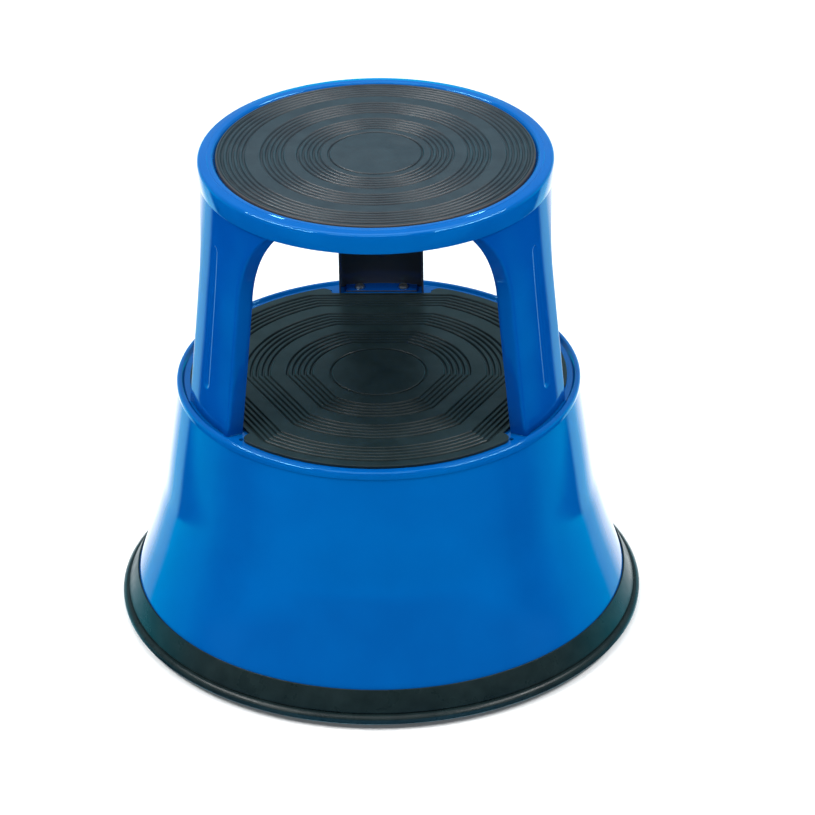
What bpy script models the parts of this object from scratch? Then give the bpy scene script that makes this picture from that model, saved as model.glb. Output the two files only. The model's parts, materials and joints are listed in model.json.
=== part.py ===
"""Kick step stool: two round steps on a conical base that rolls on three sprung castors.

Metres, +Z up. The origin is on the floor, on the stool's centre line. +Y points at the
rear leg. The castors are shown unloaded, so the bumper ring stands just clear of the floor.
"""

from math import asin, atan2, cos, degrees, pi, radians, sin, sqrt

import bmesh
import bpy
from mathutils import Matrix, Vector

# Driving dimensions

GAP = 0.0003                    # clearance left between touching pieces
SHEET = 0.0015                  # steel sheet of the cap, legs, step and housings
LARGE_STEPS = 36                # facets round the steps and the base
SMALL_STEPS = 16                # facets round the castor parts
FASTENER_STEPS = 10

TOP_Z = 0.420                   # highest point of the upper step's rim
CAP_RADIUS = 0.1467
CAP_SKIRT_Z = 0.402             # lower edge of the cap's skirt
CAP_RECESS_RADIUS = 0.1325
CAP_FLOOR_Z = 0.4160
TOP_MAT_THICKNESS = 0.0032

PLATE_Z = 0.2120                # upper face of the lower step's plate
PLATE_RADIUS = 0.1632           # where the plate turns up into its rim
RIM_RADIUS = 0.1700
RIM_ROLL = 0.0034               # radius of the rim's outer bend
RIM_CREST_Z = 0.2150
RIM_LIP_Z = 0.2086
LOWER_MAT_RADIUS = 0.1584
LOWER_MAT_THICKNESS = 0.0023
MAT_NOTCH_HALF_WIDTH = 0.0430
MAT_NOTCH_X = 0.1405            # bottom of the notch that lets a leg through
MAT_CORNER_RADIUS = 0.0085

SKIRT_SHEET = 0.0013
SKIRT_TOP_RADIUS = 0.1680
SKIRT_TOP_Z = 0.2112
SKIRT_BEND_RADIUS = 0.1832      # soft bend between the upper and the flared part
SKIRT_BEND_Z = 0.108
SKIRT_EDGE_RADIUS = 0.2080      # where the bumper ring's lip starts
SKIRT_EDGE_Z = 0.0305
SKIRT_BOTTOM_Z = 0.0150
SKIRT_OUTLINE = ((SKIRT_BOTTOM_Z, 0.2131), (SKIRT_EDGE_Z, SKIRT_EDGE_RADIUS),
                 (0.068, 0.1951), (SKIRT_BEND_Z, SKIRT_BEND_RADIUS), (0.150, 0.1768),
                 (SKIRT_TOP_Z, SKIRT_TOP_RADIUS))      # height, radius

BUMPER_RADIUS = 0.2226
BUMPER_BOTTOM_Z = 0.0045
BUMPER_WALL = 0.0022

LEG_NAMES = ("rear", "front_left", "front_right")
LEG_AZIMUTHS = (90.0, -152.0, -28.0)
LEG_HALF_WIDTH = 0.0367
LEG_CORNER_RADIUS = 0.0030
LEG_FLANGE_DEPTH = 0.0145
LEG_FOOT_Z = PLATE_Z + GAP
LEG_HEAD_Z = CAP_FLOOR_Z - SHEET - GAP
FLARE_START_Z = 0.335
FLARE_RADIUS = 0.094
RIB_HALF_WIDTH = 0.0044
RIB_FLAT_HALF_WIDTH = 0.0022
RIB_DEPTH = 0.0015
RIB_BOTTOM_Z = 0.2410
RIB_TOP_Z = 0.3695
RIB_END = 0.0040
LEG_OUTLINE = ((0.2125, 0.1623), (0.280, 0.1552), (0.345, 0.1490), (0.402, 0.1446),
               (0.416, 0.1444))          # height, outer face's distance from the centre line
TAB_HALF_WIDTH = 0.0310
FOOT_TAB_X = 0.1470             # inner end of the foot tab
HEAD_TAB_X = 0.1160             # inner end of the tab under the cap

FOOT_SCREW_X = 0.1525
FOOT_SCREW_Y = 0.0190
SCREW_RADIUS = 0.0024
SCREW_HEAD_RADIUS = 0.0043
SCREW_HEAD_HEIGHT = 0.0026
SCREW_LENGTH = 0.0100
NUT_FLAT = 0.0080               # across the flats
NUT_HEIGHT = 0.0036
HEAD_RIVET_X = 0.1240
HEAD_RIVET_Y = 0.0170
RIVET_RADIUS = 0.0022
RIVET_HEAD_RADIUS = 0.0040
RIVET_HEAD_HEIGHT = 0.0010
DRAIN_HOLE_X = 0.1495
DRAIN_HOLE_Y = 0.0450
DRAIN_HOLE_RADIUS = 0.0020

CASTOR_RADIUS = 0.1280          # swivel axis, from the stool's centre line
CASTOR_TRAVEL = 0.0080
WHEEL_RADIUS = 0.0200
WHEEL_WIDTH = 0.0150
WHEEL_TRAIL = 0.0100
HUB_RADIUS = 0.0132
AXLE_RADIUS = 0.0030
FORK_SHEET = 0.0020
FORK_HALF_GAP = 0.0084          # from the wheel's middle to the inside of a fork leg
FORK_CROWN_Z = 0.0450
FORK_CROWN_HALF_LENGTH = 0.0120
FORK_EYE_HALF_LENGTH = 0.0062
WASHER_RADIUS = 0.0110
WASHER_HEIGHT = 0.0012
KINGPIN_RADIUS = 0.0045
PLUNGER_BOTTOM_Z = FORK_CROWN_Z + GAP + WASHER_HEIGHT + GAP
HOUSING_LIP_Z = 0.0585
HOUSING_RADIUS = 0.0145
HOUSING_FLANGE_RADIUS = 0.0350
HOUSING_LIP_RADIUS = 0.0097
PLUNGER_NECK_RADIUS = 0.0093
PLUNGER_TOP_Z = 0.0900
PLUNGER_BORE_TOP_Z = 0.0640
KINGPIN_TOP_Z = 0.0690
KINGPIN_GROOVE_RADIUS = 0.0035
CLIP_BOTTOM_Z = PLUNGER_BORE_TOP_Z + GAP
CLIP_HEIGHT = 0.0010
CLIP_RADIUS = 0.0072
CLIP_MOUTH_HALF_ANGLE = 40.0    # degrees
SPRING_RADIUS = 0.0103          # to the middle of the wire
SPRING_WIRE_RADIUS = 0.0011
SPRING_TURNS = 7
SPRING_POINTS_PER_TURN = 8

BLUE = (0.0010, 0.1150, 0.4200, 1.0)
MAT_BLACK = (0.020, 0.024, 0.026, 1.0)
VINYL_BLACK = (0.014, 0.017, 0.018, 1.0)
ZINC = (0.60, 0.60, 0.58, 1.0)
SPRING_STEEL = (0.22, 0.22, 0.23, 1.0)
NYLON = (0.66, 0.66, 0.62, 1.0)
GREY_TYRE = (0.10, 0.10, 0.10, 1.0)


def clear_scene():
    for obj in list(bpy.data.objects):
        bpy.data.objects.remove(obj, do_unlink=True)


def new_collection(name):
    collection = bpy.data.collections.new(name)
    bpy.context.scene.collection.children.link(collection)
    return collection


clear_scene()
STOOL = new_collection("kick_step_stool")
CUTTERS = new_collection("cutters")


# Materials

def make_material(name, colour, roughness, metallic):
    material = bpy.data.materials.new(name)
    material.use_nodes = True
    shader = material.node_tree.nodes["Principled BSDF"]
    shader.inputs["Base Color"].default_value = colour
    shader.inputs["Roughness"].default_value = roughness
    shader.inputs["Metallic"].default_value = metallic
    material.diffuse_color = colour
    return material


ENAMEL = make_material("blue_enamel", BLUE, 0.22, 0.0)
MAT_RUBBER = make_material("mat_rubber", MAT_BLACK, 0.45, 0.0)
BUMPER_VINYL = make_material("bumper_vinyl", VINYL_BLACK, 0.40, 0.0)
PLATED_STEEL = make_material("plated_steel", ZINC, 0.35, 1.0)
DARK_STEEL = make_material("spring_steel", SPRING_STEEL, 0.40, 1.0)
PLUNGER_NYLON = make_material("nylon", NYLON, 0.50, 0.0)
TYRE_RUBBER = make_material("tyre_rubber", GREY_TYRE, 0.60, 0.0)


# Building helpers

def add_object(name, data, material, parent=None):
    obj = bpy.data.objects.new(name, data)
    data.materials.append(material)
    obj.parent = parent
    STOOL.objects.link(obj)
    return obj


def add_empty(name, location, azimuth=0.0, parent=None):
    empty = bpy.data.objects.new(name, None)
    empty.empty_display_size = 0.02
    empty.location = location
    empty.rotation_euler.z = radians(azimuth)
    empty.parent = parent
    STOOL.objects.link(empty)
    return empty


def settle(obj, sharp_angle=35.0):
    """Make the modified shape the object's own mesh, smooth between its sharp edges."""
    depsgraph = bpy.context.evaluated_depsgraph_get()
    mesh = bpy.data.meshes.new_from_object(obj.evaluated_get(depsgraph))
    obj.modifiers.clear()
    obj.data = mesh
    mesh.shade_smooth()
    mesh.set_sharp_from_angle(angle=radians(sharp_angle))


def turned(name, profile, material, steps, parent=None, location=(0.0, 0.0, 0.0)):
    """Turn a profile of (radius, height) points about Z.

    The points run down the outer side. A profile that starts and ends on the axis is a
    solid; any other profile is closed into a ring.
    """
    on_axis = profile[0][0] == 0.0
    count = len(profile)
    edges = [(i, i + 1) for i in range(count - 1)]
    if not on_axis:
        edges.append((count - 1, 0))
    mesh = bpy.data.meshes.new(name)
    mesh.from_pydata([(radius, 0.0, height) for radius, height in profile], edges, [])
    obj = add_object(name, mesh, material, parent)
    obj.location = location
    screw = obj.modifiers.new("Turn", "SCREW")
    screw.axis = "Z"
    screw.angle = 2.0 * pi
    screw.steps = steps
    screw.render_steps = steps
    screw.use_merge_vertices = True
    screw.merge_threshold = 0.00001
    settle(obj)
    return obj


def arc(centre, radius, start, end, count):
    """Points on an arc in the profile plane, with both ends; angles in degrees."""
    points = []
    for i in range(count + 1):
        angle = radians(start + (end - start) * i / count)
        points.append((centre[0] + radius * cos(angle), centre[1] + radius * sin(angle)))
    return points


def drill(obj, places, radius, bottom, top, steps=10):
    """Cut upright round holes at (x, y) places in the object's own frame."""
    bm = bmesh.new()
    for x, y in places:
        centre = Matrix.Translation((x, y, (bottom + top) / 2.0))
        bmesh.ops.create_cone(bm, cap_ends=True, segments=steps, radius1=radius,
                              radius2=radius, depth=top - bottom, matrix=centre)
    cut(obj, bm)


def drill_across(obj, x, z, radius, half_length, steps=12):
    """Cut one round hole along Y in the object's own frame."""
    bm = bmesh.new()
    place = Matrix.Translation((x, 0.0, z)) @ Matrix.Rotation(pi / 2.0, 4, "X")
    bmesh.ops.create_cone(bm, cap_ends=True, segments=steps, radius1=radius,
                          radius2=radius, depth=2.0 * half_length, matrix=place)
    cut(obj, bm)


def cut(obj, bm):
    """Subtract the shape in bm, which is in the object's own frame, from the object."""
    mesh = bpy.data.meshes.new(obj.name + "_cutter")
    bm.to_mesh(mesh)
    bm.free()
    cutter = bpy.data.objects.new(obj.name + "_cutter", mesh)
    CUTTERS.objects.link(cutter)
    cutter.hide_render = True
    cutter.display_type = "WIRE"
    bpy.context.view_layer.update()
    cutter.matrix_world = obj.matrix_world.copy()
    bpy.context.view_layer.update()
    boolean = obj.modifiers.new("Cut", "BOOLEAN")
    boolean.operation = "DIFFERENCE"
    boolean.solver = "EXACT"
    boolean.object = cutter
    settle(obj)


def sheet_metal(name, rows, thickness, material, parent=None):
    """Lay quads through rows of points, a None leaving a gap, and thicken them inward."""
    bm = bmesh.new()
    grid = [[bm.verts.new(point) if point else None for point in row] for row in rows]
    for lower, upper in zip(grid, grid[1:]):
        for column in range(len(lower) - 1):
            corners = (lower[column], lower[column + 1], upper[column + 1], upper[column])
            if None not in corners:
                bm.faces.new(corners)
    mesh = bpy.data.meshes.new(name)
    bm.to_mesh(mesh)
    bm.free()
    obj = add_object(name, mesh, material, parent)
    solidify = obj.modifiers.new("Sheet", "SOLIDIFY")
    solidify.thickness = thickness
    solidify.offset = -1.0
    solidify.use_even_offset = True
    settle(obj)
    return obj


def curve_through(knots, x):
    """Smooth value at x of a curve through (x, y) knots, with the slope kept at its ends."""
    if x <= knots[0][0]:
        first, second = knots[0], knots[1]
        return first[1] + (second[1] - first[1]) / (second[0] - first[0]) * (x - first[0])
    slopes = []
    for i in range(len(knots)):
        before = knots[max(i - 1, 0)]
        after = knots[min(i + 1, len(knots) - 1)]
        slopes.append((after[1] - before[1]) / (after[0] - before[0]))
    for i in range(len(knots) - 1):
        (x0, y0), (x1, y1) = knots[i], knots[i + 1]
        if x <= x1 or i == len(knots) - 2:
            span = x1 - x0
            t = (x - x0) / span
            return (y0 * (1 + 2 * t) * (1 - t) ** 2 + span * slopes[i] * t * (1 - t) ** 2
                    + y1 * t * t * (3 - 2 * t) + span * slopes[i + 1] * t * t * (t - 1))


# Upper step

def build_top_cap():
    """Pressed cap: recessed floor, raised rim with a soft outer edge, and a short skirt."""
    outer = [(0.0, CAP_FLOOR_Z), (CAP_RECESS_RADIUS - 0.0004, CAP_FLOOR_Z),
             (CAP_RECESS_RADIUS, CAP_FLOOR_Z + 0.0025), (0.1345, TOP_Z - 0.0004),
             (0.1375, TOP_Z), (0.1405, TOP_Z - 0.0004)]
    outer += arc((CAP_RADIUS - 0.0026, TOP_Z - 0.0042), 0.0026, 75.0, 0.0, 2)
    outer += [(CAP_RADIUS, CAP_SKIRT_Z)]
    inner_radius = CAP_RADIUS - 0.0012
    inner = [(inner_radius, CAP_SKIRT_Z), (inner_radius, TOP_Z - 0.0042),
             (0.1430, TOP_Z - 0.0026), (0.1375, TOP_Z - 0.0016), (0.1352, TOP_Z - 0.0020),
             (CAP_RECESS_RADIUS + 0.0013, CAP_FLOOR_Z - SHEET), (0.0, CAP_FLOOR_Z - SHEET)]
    cap = turned("top_cap", outer + inner, ENAMEL, LARGE_STEPS)
    drill(cap, leg_pairs(HEAD_RIVET_X, HEAD_RIVET_Y), RIVET_RADIUS + GAP,
          CAP_FLOOR_Z - 0.005, CAP_FLOOR_Z + 0.005)


def build_top_mat():
    """Round mat that lies in the cap's recess, with pockets over the rivet heads."""
    bottom = CAP_FLOOR_Z + GAP
    top = bottom + TOP_MAT_THICKNESS
    edge = CAP_RECESS_RADIUS - 0.0010
    profile = [(0.0, top), (edge - 0.0012, top), (edge, top - 0.0010), (edge, bottom),
               (0.0, bottom)]
    mat = turned("top_mat", profile, MAT_RUBBER, LARGE_STEPS)
    places = leg_pairs(HEAD_RIVET_X, HEAD_RIVET_Y)
    pocket_top = bottom + RIVET_HEAD_HEIGHT + 2.0 * GAP
    drill(mat, places, RIVET_HEAD_RADIUS + 2.0 * GAP, bottom - 0.002, pocket_top)


# Legs

def leg_radius(z):
    """Distance of a leg's outer face from the centre line."""
    return curve_through(LEG_OUTLINE, z)


def leg_half_width(z):
    """Half the width of a leg, which flares in an arc up to the cap's skirt."""
    rise = min(z, CAP_SKIRT_Z) - FLARE_START_Z
    if rise <= 0.0:
        return LEG_HALF_WIDTH
    return LEG_HALF_WIDTH + FLARE_RADIUS - sqrt(FLARE_RADIUS ** 2 - rise ** 2)


def leg_half_section(z):
    """Outer points of half a leg's channel at a height, from its middle to its flange."""
    radius = leg_radius(z)
    half_width = leg_half_width(z)
    rib = RIB_DEPTH if RIB_BOTTOM_Z < z < RIB_TOP_Z else 0.0
    face_end = (half_width - LEG_CORNER_RADIUS) / (1.0 - LEG_CORNER_RADIUS / radius)
    points = []
    for y in (0.0, RIB_FLAT_HALF_WIDTH, RIB_HALF_WIDTH, TAB_HALF_WIDTH / 2.0, TAB_HALF_WIDTH,
              face_end):
        depth = rib if y < RIB_HALF_WIDTH else 0.0
        points.append((sqrt(radius ** 2 - y ** 2) - depth, y))
    tilt = asin(face_end / radius)
    centre_x = points[-1][0] - LEG_CORNER_RADIUS * cos(tilt)
    centre_y = half_width - LEG_CORNER_RADIUS
    for step in (1, 2):
        angle = tilt + (pi / 2.0 - tilt) * step / 2.0
        points.append((centre_x + LEG_CORNER_RADIUS * cos(angle),
                       centre_y + LEG_CORNER_RADIUS * sin(angle)))
    points.append((points[-1][0] + LEG_CORNER_RADIUS - LEG_FLANGE_DEPTH, half_width))
    return points


def leg_row(z):
    half = leg_half_section(z)
    row = [(x, -y, z) for x, y in reversed(half[1:])]
    return row + [(x, y, z) for x, y in half]


def tab_row(z, x):
    """A row that holds only a tab's columns, at a fixed distance from the centre line."""
    return [(x, y, z) if abs(y) < TAB_HALF_WIDTH + GAP else None
            for _, y, _ in leg_row(z)]


def build_legs(frames):
    heights = [LEG_FOOT_Z, RIB_BOTTOM_Z - GAP, RIB_BOTTOM_Z + RIB_END, 0.290,
               FLARE_START_Z, 0.352, RIB_TOP_Z - RIB_END, RIB_TOP_Z + GAP, 0.386,
               CAP_SKIRT_Z, LEG_HEAD_Z]
    rows = [tab_row(LEG_FOOT_Z, FOOT_TAB_X)]
    rows += [leg_row(z) for z in heights]
    rows += [tab_row(LEG_HEAD_Z, HEAD_TAB_X)]
    for name, frame in zip(LEG_NAMES, frames):
        leg = sheet_metal("leg_" + name, rows, SHEET, ENAMEL, frame)
        drill(leg, mirrored(FOOT_SCREW_X, FOOT_SCREW_Y), SCREW_RADIUS + GAP,
              LEG_FOOT_Z - 0.004, LEG_FOOT_Z + 0.004)
        drill(leg, mirrored(HEAD_RIVET_X, HEAD_RIVET_Y), RIVET_RADIUS + GAP,
              LEG_HEAD_Z - 0.004, LEG_HEAD_Z + 0.004)


def mirrored(x, y):
    return [(x, -y), (x, y)]


def leg_pairs(x, y):
    """World (x, y) of the two mirrored places that each leg has."""
    places = []
    for azimuth in LEG_AZIMUTHS:
        turn = Matrix.Rotation(radians(azimuth), 2)
        places += [tuple(turn @ Vector(place)) for place in mirrored(x, y)]
    return places


# Lower step

def build_step_plate():
    """Flat plate whose edge rises to a rolled rim that hooks over the conical skirt."""
    lip_inside = RIM_RADIUS - 0.0012
    outer = [(0.0, PLATE_Z), (PLATE_RADIUS, PLATE_Z), (PLATE_RADIUS + 0.0011, PLATE_Z + 0.0009),
             (PLATE_RADIUS + 0.0021, RIM_CREST_Z - 0.0005)]
    outer += arc((RIM_RADIUS - RIM_ROLL, RIM_CREST_Z - RIM_ROLL), RIM_ROLL, 90.0, 0.0, 3)
    outer += [(RIM_RADIUS, RIM_LIP_Z)]
    inner = [(lip_inside, RIM_LIP_Z), (lip_inside, RIM_CREST_Z - RIM_ROLL),
             (RIM_RADIUS - RIM_ROLL, RIM_CREST_Z - 0.0013),
             (PLATE_RADIUS + 0.0018, PLATE_Z - 0.0001),
             (PLATE_RADIUS + 0.0004, PLATE_Z - SHEET), (0.0, PLATE_Z - SHEET)]
    plate = turned("step_plate", outer + inner, ENAMEL, LARGE_STEPS)
    drill(plate, leg_pairs(FOOT_SCREW_X, FOOT_SCREW_Y), SCREW_RADIUS + GAP,
          PLATE_Z - 0.005, PLATE_Z + 0.005)
    drill(plate, leg_pairs(DRAIN_HOLE_X, DRAIN_HOLE_Y), DRAIN_HOLE_RADIUS,
          PLATE_Z - 0.005, PLATE_Z + 0.005, steps=8)


def lower_mat_outline():
    """Circle with a notch for each leg, its outer corners rounded."""
    points = []
    side = MAT_NOTCH_HALF_WIDTH
    reach = LOWER_MAT_RADIUS - MAT_CORNER_RADIUS
    corner_y = side + MAT_CORNER_RADIUS
    corner_x = sqrt(reach ** 2 - corner_y ** 2)
    edge_angle = degrees(atan2(corner_y, corner_x))
    azimuths = sorted(LEG_AZIMUTHS)
    for azimuth, following in zip(azimuths, azimuths[1:] + [azimuths[0] + 360.0]):
        turn = Matrix.Rotation(radians(azimuth), 2)
        notch = [(MAT_NOTCH_X, -side), (MAT_NOTCH_X, side)]
        corner = arc((corner_x, corner_y), MAT_CORNER_RADIUS, -90.0, edge_angle, 4)
        mirrored_corner = [(x, -y) for x, y in reversed(corner)]
        points += [turn @ Vector(place) for place in mirrored_corner + notch + corner]
        sweep = following - azimuth - 2.0 * edge_angle
        steps = round(sweep / 8.0)
        for i in range(1, steps):
            angle = radians(azimuth + edge_angle + sweep * i / steps)
            points.append(Vector((LOWER_MAT_RADIUS * cos(angle), LOWER_MAT_RADIUS * sin(angle))))
    return points


def build_lower_mat():
    outline = lower_mat_outline()
    curve = bpy.data.curves.new("lower_mat", "CURVE")
    curve.dimensions = "2D"
    curve.fill_mode = "BOTH"
    curve.extrude = LOWER_MAT_THICKNESS / 2.0
    spline = curve.splines.new("POLY")
    spline.points.add(len(outline) - 1)
    for point, (x, y) in zip(spline.points, outline):
        point.co = (x, y, 0.0, 1.0)
    spline.use_cyclic_u = True
    mat = add_object("lower_mat", curve, MAT_RUBBER)
    mat.location.z = PLATE_Z + GAP + LOWER_MAT_THICKNESS / 2.0


# Base

def skirt_radius(z):
    return curve_through(SKIRT_OUTLINE, z)


def build_base_skirt():
    """Conical shell, nearly straight above a soft bend and flared below it."""
    heights = [SKIRT_TOP_Z, 0.150, 0.122, SKIRT_BEND_Z, 0.094, 0.068, SKIRT_EDGE_Z,
               SKIRT_BOTTOM_Z]
    outer = [(skirt_radius(z), z) for z in heights]
    inner = [(skirt_radius(z) - SKIRT_SHEET, z) for z in reversed(heights)]
    turned("base_skirt", outer + inner, ENAMEL, LARGE_STEPS)


def build_bumper_ring():
    """Soft ring that grips the skirt's edge: lip, sloping band, and a rounded outer bead."""
    slot_top = SKIRT_EDGE_Z + 0.0008
    slot_bottom = SKIRT_BOTTOM_Z - GAP
    inner_top = 0.0240
    bead = arc((BUMPER_RADIUS - 0.0042, BUMPER_BOTTOM_Z + 0.0042), 0.0042, 80.0, -90.0, 4)
    outer = [(skirt_radius(slot_top) + GAP, slot_top), (skirt_radius(slot_top) + 0.0012, slot_top),
             (0.2172, 0.0138), (0.2165, 0.0128)]
    outside = outer + bead
    inner_radius = skirt_radius(inner_top) - SKIRT_SHEET - GAP
    inside = [(inner_radius + 0.0008 - BUMPER_WALL, BUMPER_BOTTOM_Z),
              (inner_radius - BUMPER_WALL, inner_top), (inner_radius, inner_top),
              (skirt_radius(slot_bottom) - SKIRT_SHEET - GAP, slot_bottom),
              (skirt_radius(slot_bottom) + GAP, slot_bottom),
              (skirt_radius(SKIRT_EDGE_Z) + GAP, SKIRT_EDGE_Z)]
    turned("bumper_ring", outside + inside, BUMPER_VINYL, LARGE_STEPS)


# Fasteners

def build_foot_screw(name, frame, y):
    """Pan-head screw through the foot tab, the step plate and the castor housing."""
    seat = LEG_FOOT_Z + SHEET + GAP
    crown = seat + SCREW_HEAD_HEIGHT
    profile = [(0.0, crown), (SCREW_HEAD_RADIUS * 0.6, crown - 0.0003),
               (SCREW_HEAD_RADIUS * 0.93, crown - 0.0011), (SCREW_HEAD_RADIUS, seat),
               (SCREW_RADIUS, seat), (SCREW_RADIUS, seat - SCREW_LENGTH + 0.0006),
               (SCREW_RADIUS - 0.0006, seat - SCREW_LENGTH), (0.0, seat - SCREW_LENGTH)]
    turned(name, profile, PLATED_STEEL, FASTENER_STEPS, frame, (FOOT_SCREW_X, y, 0.0))


def build_foot_nut(name, frame, y):
    top = PLATE_Z - 2.0 * SHEET - 2.0 * GAP
    bm = bmesh.new()
    middle = Matrix.Translation((0.0, 0.0, top - NUT_HEIGHT / 2.0))
    corner_radius = NUT_FLAT / 2.0 / cos(pi / 6.0)
    bmesh.ops.create_cone(bm, cap_ends=True, segments=6, radius1=corner_radius,
                          radius2=corner_radius, depth=NUT_HEIGHT, matrix=middle)
    mesh = bpy.data.meshes.new(name)
    bm.to_mesh(mesh)
    bm.free()
    nut = add_object(name, mesh, PLATED_STEEL, frame)
    nut.location = (FOOT_SCREW_X, y, 0.0)
    drill(nut, [(0.0, 0.0)], SCREW_RADIUS + GAP, top - 2.0 * NUT_HEIGHT, top + NUT_HEIGHT)


def build_head_rivet(name, frame, y):
    """Rivet that joins the cap's floor to a leg's upper tab, its head under the mat."""
    seat = CAP_FLOOR_Z + GAP
    tail = LEG_HEAD_Z - SHEET - GAP
    crown = seat + RIVET_HEAD_HEIGHT
    profile = [(0.0, crown), (RIVET_HEAD_RADIUS * 0.7, crown), (RIVET_HEAD_RADIUS, seat),
               (RIVET_RADIUS, seat), (RIVET_RADIUS, tail), (RIVET_HEAD_RADIUS * 0.85, tail),
               (RIVET_HEAD_RADIUS * 0.7, tail - 0.0012), (0.0, tail - 0.0012)]
    turned(name, profile, PLATED_STEEL, FASTENER_STEPS, frame, (HEAD_RIVET_X, y, 0.0))


def build_fasteners(frames):
    for name, frame in zip(LEG_NAMES, frames):
        for side, sign in (("a", -1.0), ("b", 1.0)):
            label = name + "_" + side
            build_foot_screw("foot_screw_" + label, frame, sign * FOOT_SCREW_Y)
            build_foot_nut("foot_nut_" + label, frame, sign * FOOT_SCREW_Y)
            build_head_rivet("head_rivet_" + label, frame, sign * HEAD_RIVET_Y)


# Castors

def build_housing(name, seat):
    """Drawn cup under the step plate; its lower lip holds the plunger in."""
    top = PLATE_Z - SHEET - GAP
    bore = HOUSING_RADIUS - SHEET
    profile = [(0.0, top), (HOUSING_FLANGE_RADIUS, top), (HOUSING_FLANGE_RADIUS, top - SHEET),
               (HOUSING_RADIUS + 0.0015, top - SHEET), (HOUSING_RADIUS, top - SHEET - 0.0015),
               (HOUSING_RADIUS, HOUSING_LIP_Z + 0.0015),
               (HOUSING_RADIUS - 0.0015, HOUSING_LIP_Z), (HOUSING_LIP_RADIUS, HOUSING_LIP_Z),
               (HOUSING_LIP_RADIUS, HOUSING_LIP_Z + SHEET), (bore, HOUSING_LIP_Z + SHEET),
               (bore, top - SHEET), (0.0, top - SHEET)]
    housing = turned(name, profile, PLATED_STEEL, SMALL_STEPS + 4, seat)
    places = mirrored(FOOT_SCREW_X - CASTOR_RADIUS, FOOT_SCREW_Y)
    drill(housing, places, SCREW_RADIUS + GAP, top - 0.005, top + 0.005)


def build_plunger(name, seat):
    """Stepped sleeve that slides in the housing and carries the kingpin."""
    outer = HOUSING_RADIUS - SHEET - GAP
    shoulder = HOUSING_LIP_Z + SHEET + GAP
    profile = [(outer, PLUNGER_TOP_Z), (outer, shoulder), (PLUNGER_NECK_RADIUS, shoulder),
               (PLUNGER_NECK_RADIUS, PLUNGER_BOTTOM_Z), (KINGPIN_RADIUS + GAP, PLUNGER_BOTTOM_Z),
               (KINGPIN_RADIUS + GAP, PLUNGER_BORE_TOP_Z), (0.0082, PLUNGER_BORE_TOP_Z),
               (0.0082, PLUNGER_TOP_Z)]
    turned(name, profile, PLUNGER_NYLON, SMALL_STEPS, seat)


def build_spring(name, seat):
    """Coil between the plunger and the housing's closed end, its end turns flattened."""
    bottom = PLUNGER_TOP_Z + GAP + SPRING_WIRE_RADIUS
    top = PLATE_Z - 2.0 * SHEET - 2.0 * GAP - SPRING_WIRE_RADIUS
    closed_turn = 2.4 * SPRING_WIRE_RADIUS
    count = SPRING_TURNS * SPRING_POINTS_PER_TURN
    curve = bpy.data.curves.new(name, "CURVE")
    curve.dimensions = "3D"
    curve.bevel_depth = SPRING_WIRE_RADIUS
    curve.bevel_resolution = 1
    curve.use_fill_caps = True
    spline = curve.splines.new("POLY")
    spline.points.add(count)
    middle = top - bottom - 2.0 * closed_turn
    for i, point in enumerate(spline.points):
        turns = i / SPRING_POINTS_PER_TURN
        if turns < 1.0:
            height = closed_turn * turns
        elif turns > SPRING_TURNS - 1.0:
            height = top - bottom - closed_turn * (SPRING_TURNS - turns)
        else:
            height = closed_turn + middle * (turns - 1.0) / (SPRING_TURNS - 2.0)
        angle = 2.0 * pi * turns
        point.co = (SPRING_RADIUS * cos(angle), SPRING_RADIUS * sin(angle),
                    bottom + height, 1.0)
    add_object(name, curve, DARK_STEEL, seat)


def build_washer(name, seat):
    bottom = FORK_CROWN_Z + GAP
    top = bottom + WASHER_HEIGHT
    bore = KINGPIN_RADIUS + GAP
    profile = [(WASHER_RADIUS, top), (WASHER_RADIUS, bottom), (bore, bottom), (bore, top)]
    turned(name, profile, PLATED_STEEL, SMALL_STEPS, seat)


def build_kingpin(name, seat):
    """Pin riveted under the fork's crown, with a groove for its retaining clip."""
    head_top = FORK_CROWN_Z - FORK_SHEET - GAP
    groove_bottom = CLIP_BOTTOM_Z - GAP
    groove_top = CLIP_BOTTOM_Z + CLIP_HEIGHT + GAP
    profile = [(0.0, KINGPIN_TOP_Z), (KINGPIN_RADIUS - 0.0008, KINGPIN_TOP_Z),
               (KINGPIN_RADIUS, KINGPIN_TOP_Z - 0.0008), (KINGPIN_RADIUS, groove_top),
               (KINGPIN_GROOVE_RADIUS, groove_top), (KINGPIN_GROOVE_RADIUS, groove_bottom),
               (KINGPIN_RADIUS, groove_bottom), (KINGPIN_RADIUS, head_top),
               (0.0070, head_top), (0.0060, head_top - 0.0014), (0.0, head_top - 0.0014)]
    turned(name, profile, PLATED_STEEL, SMALL_STEPS, seat)


def build_clip(name, seat):
    """Flat retaining clip, open at one side, in the kingpin's groove."""
    inner = KINGPIN_GROOVE_RADIUS + GAP
    mouth = CLIP_MOUTH_HALF_ANGLE
    outline = arc((0.0, 0.0), CLIP_RADIUS, mouth, 360.0 - mouth, 12)
    outline += arc((0.0, 0.0), inner, 360.0 - mouth, mouth, 12)
    curve = bpy.data.curves.new(name, "CURVE")
    curve.dimensions = "2D"
    curve.fill_mode = "BOTH"
    curve.extrude = CLIP_HEIGHT / 2.0
    spline = curve.splines.new("POLY")
    spline.points.add(len(outline) - 1)
    for point, (x, y) in zip(spline.points, outline):
        point.co = (x, y, 0.0, 1.0)
    spline.use_cyclic_u = True
    clip = add_object(name, curve, DARK_STEEL, seat)
    clip.location.z = CLIP_BOTTOM_Z + CLIP_HEIGHT / 2.0


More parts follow.
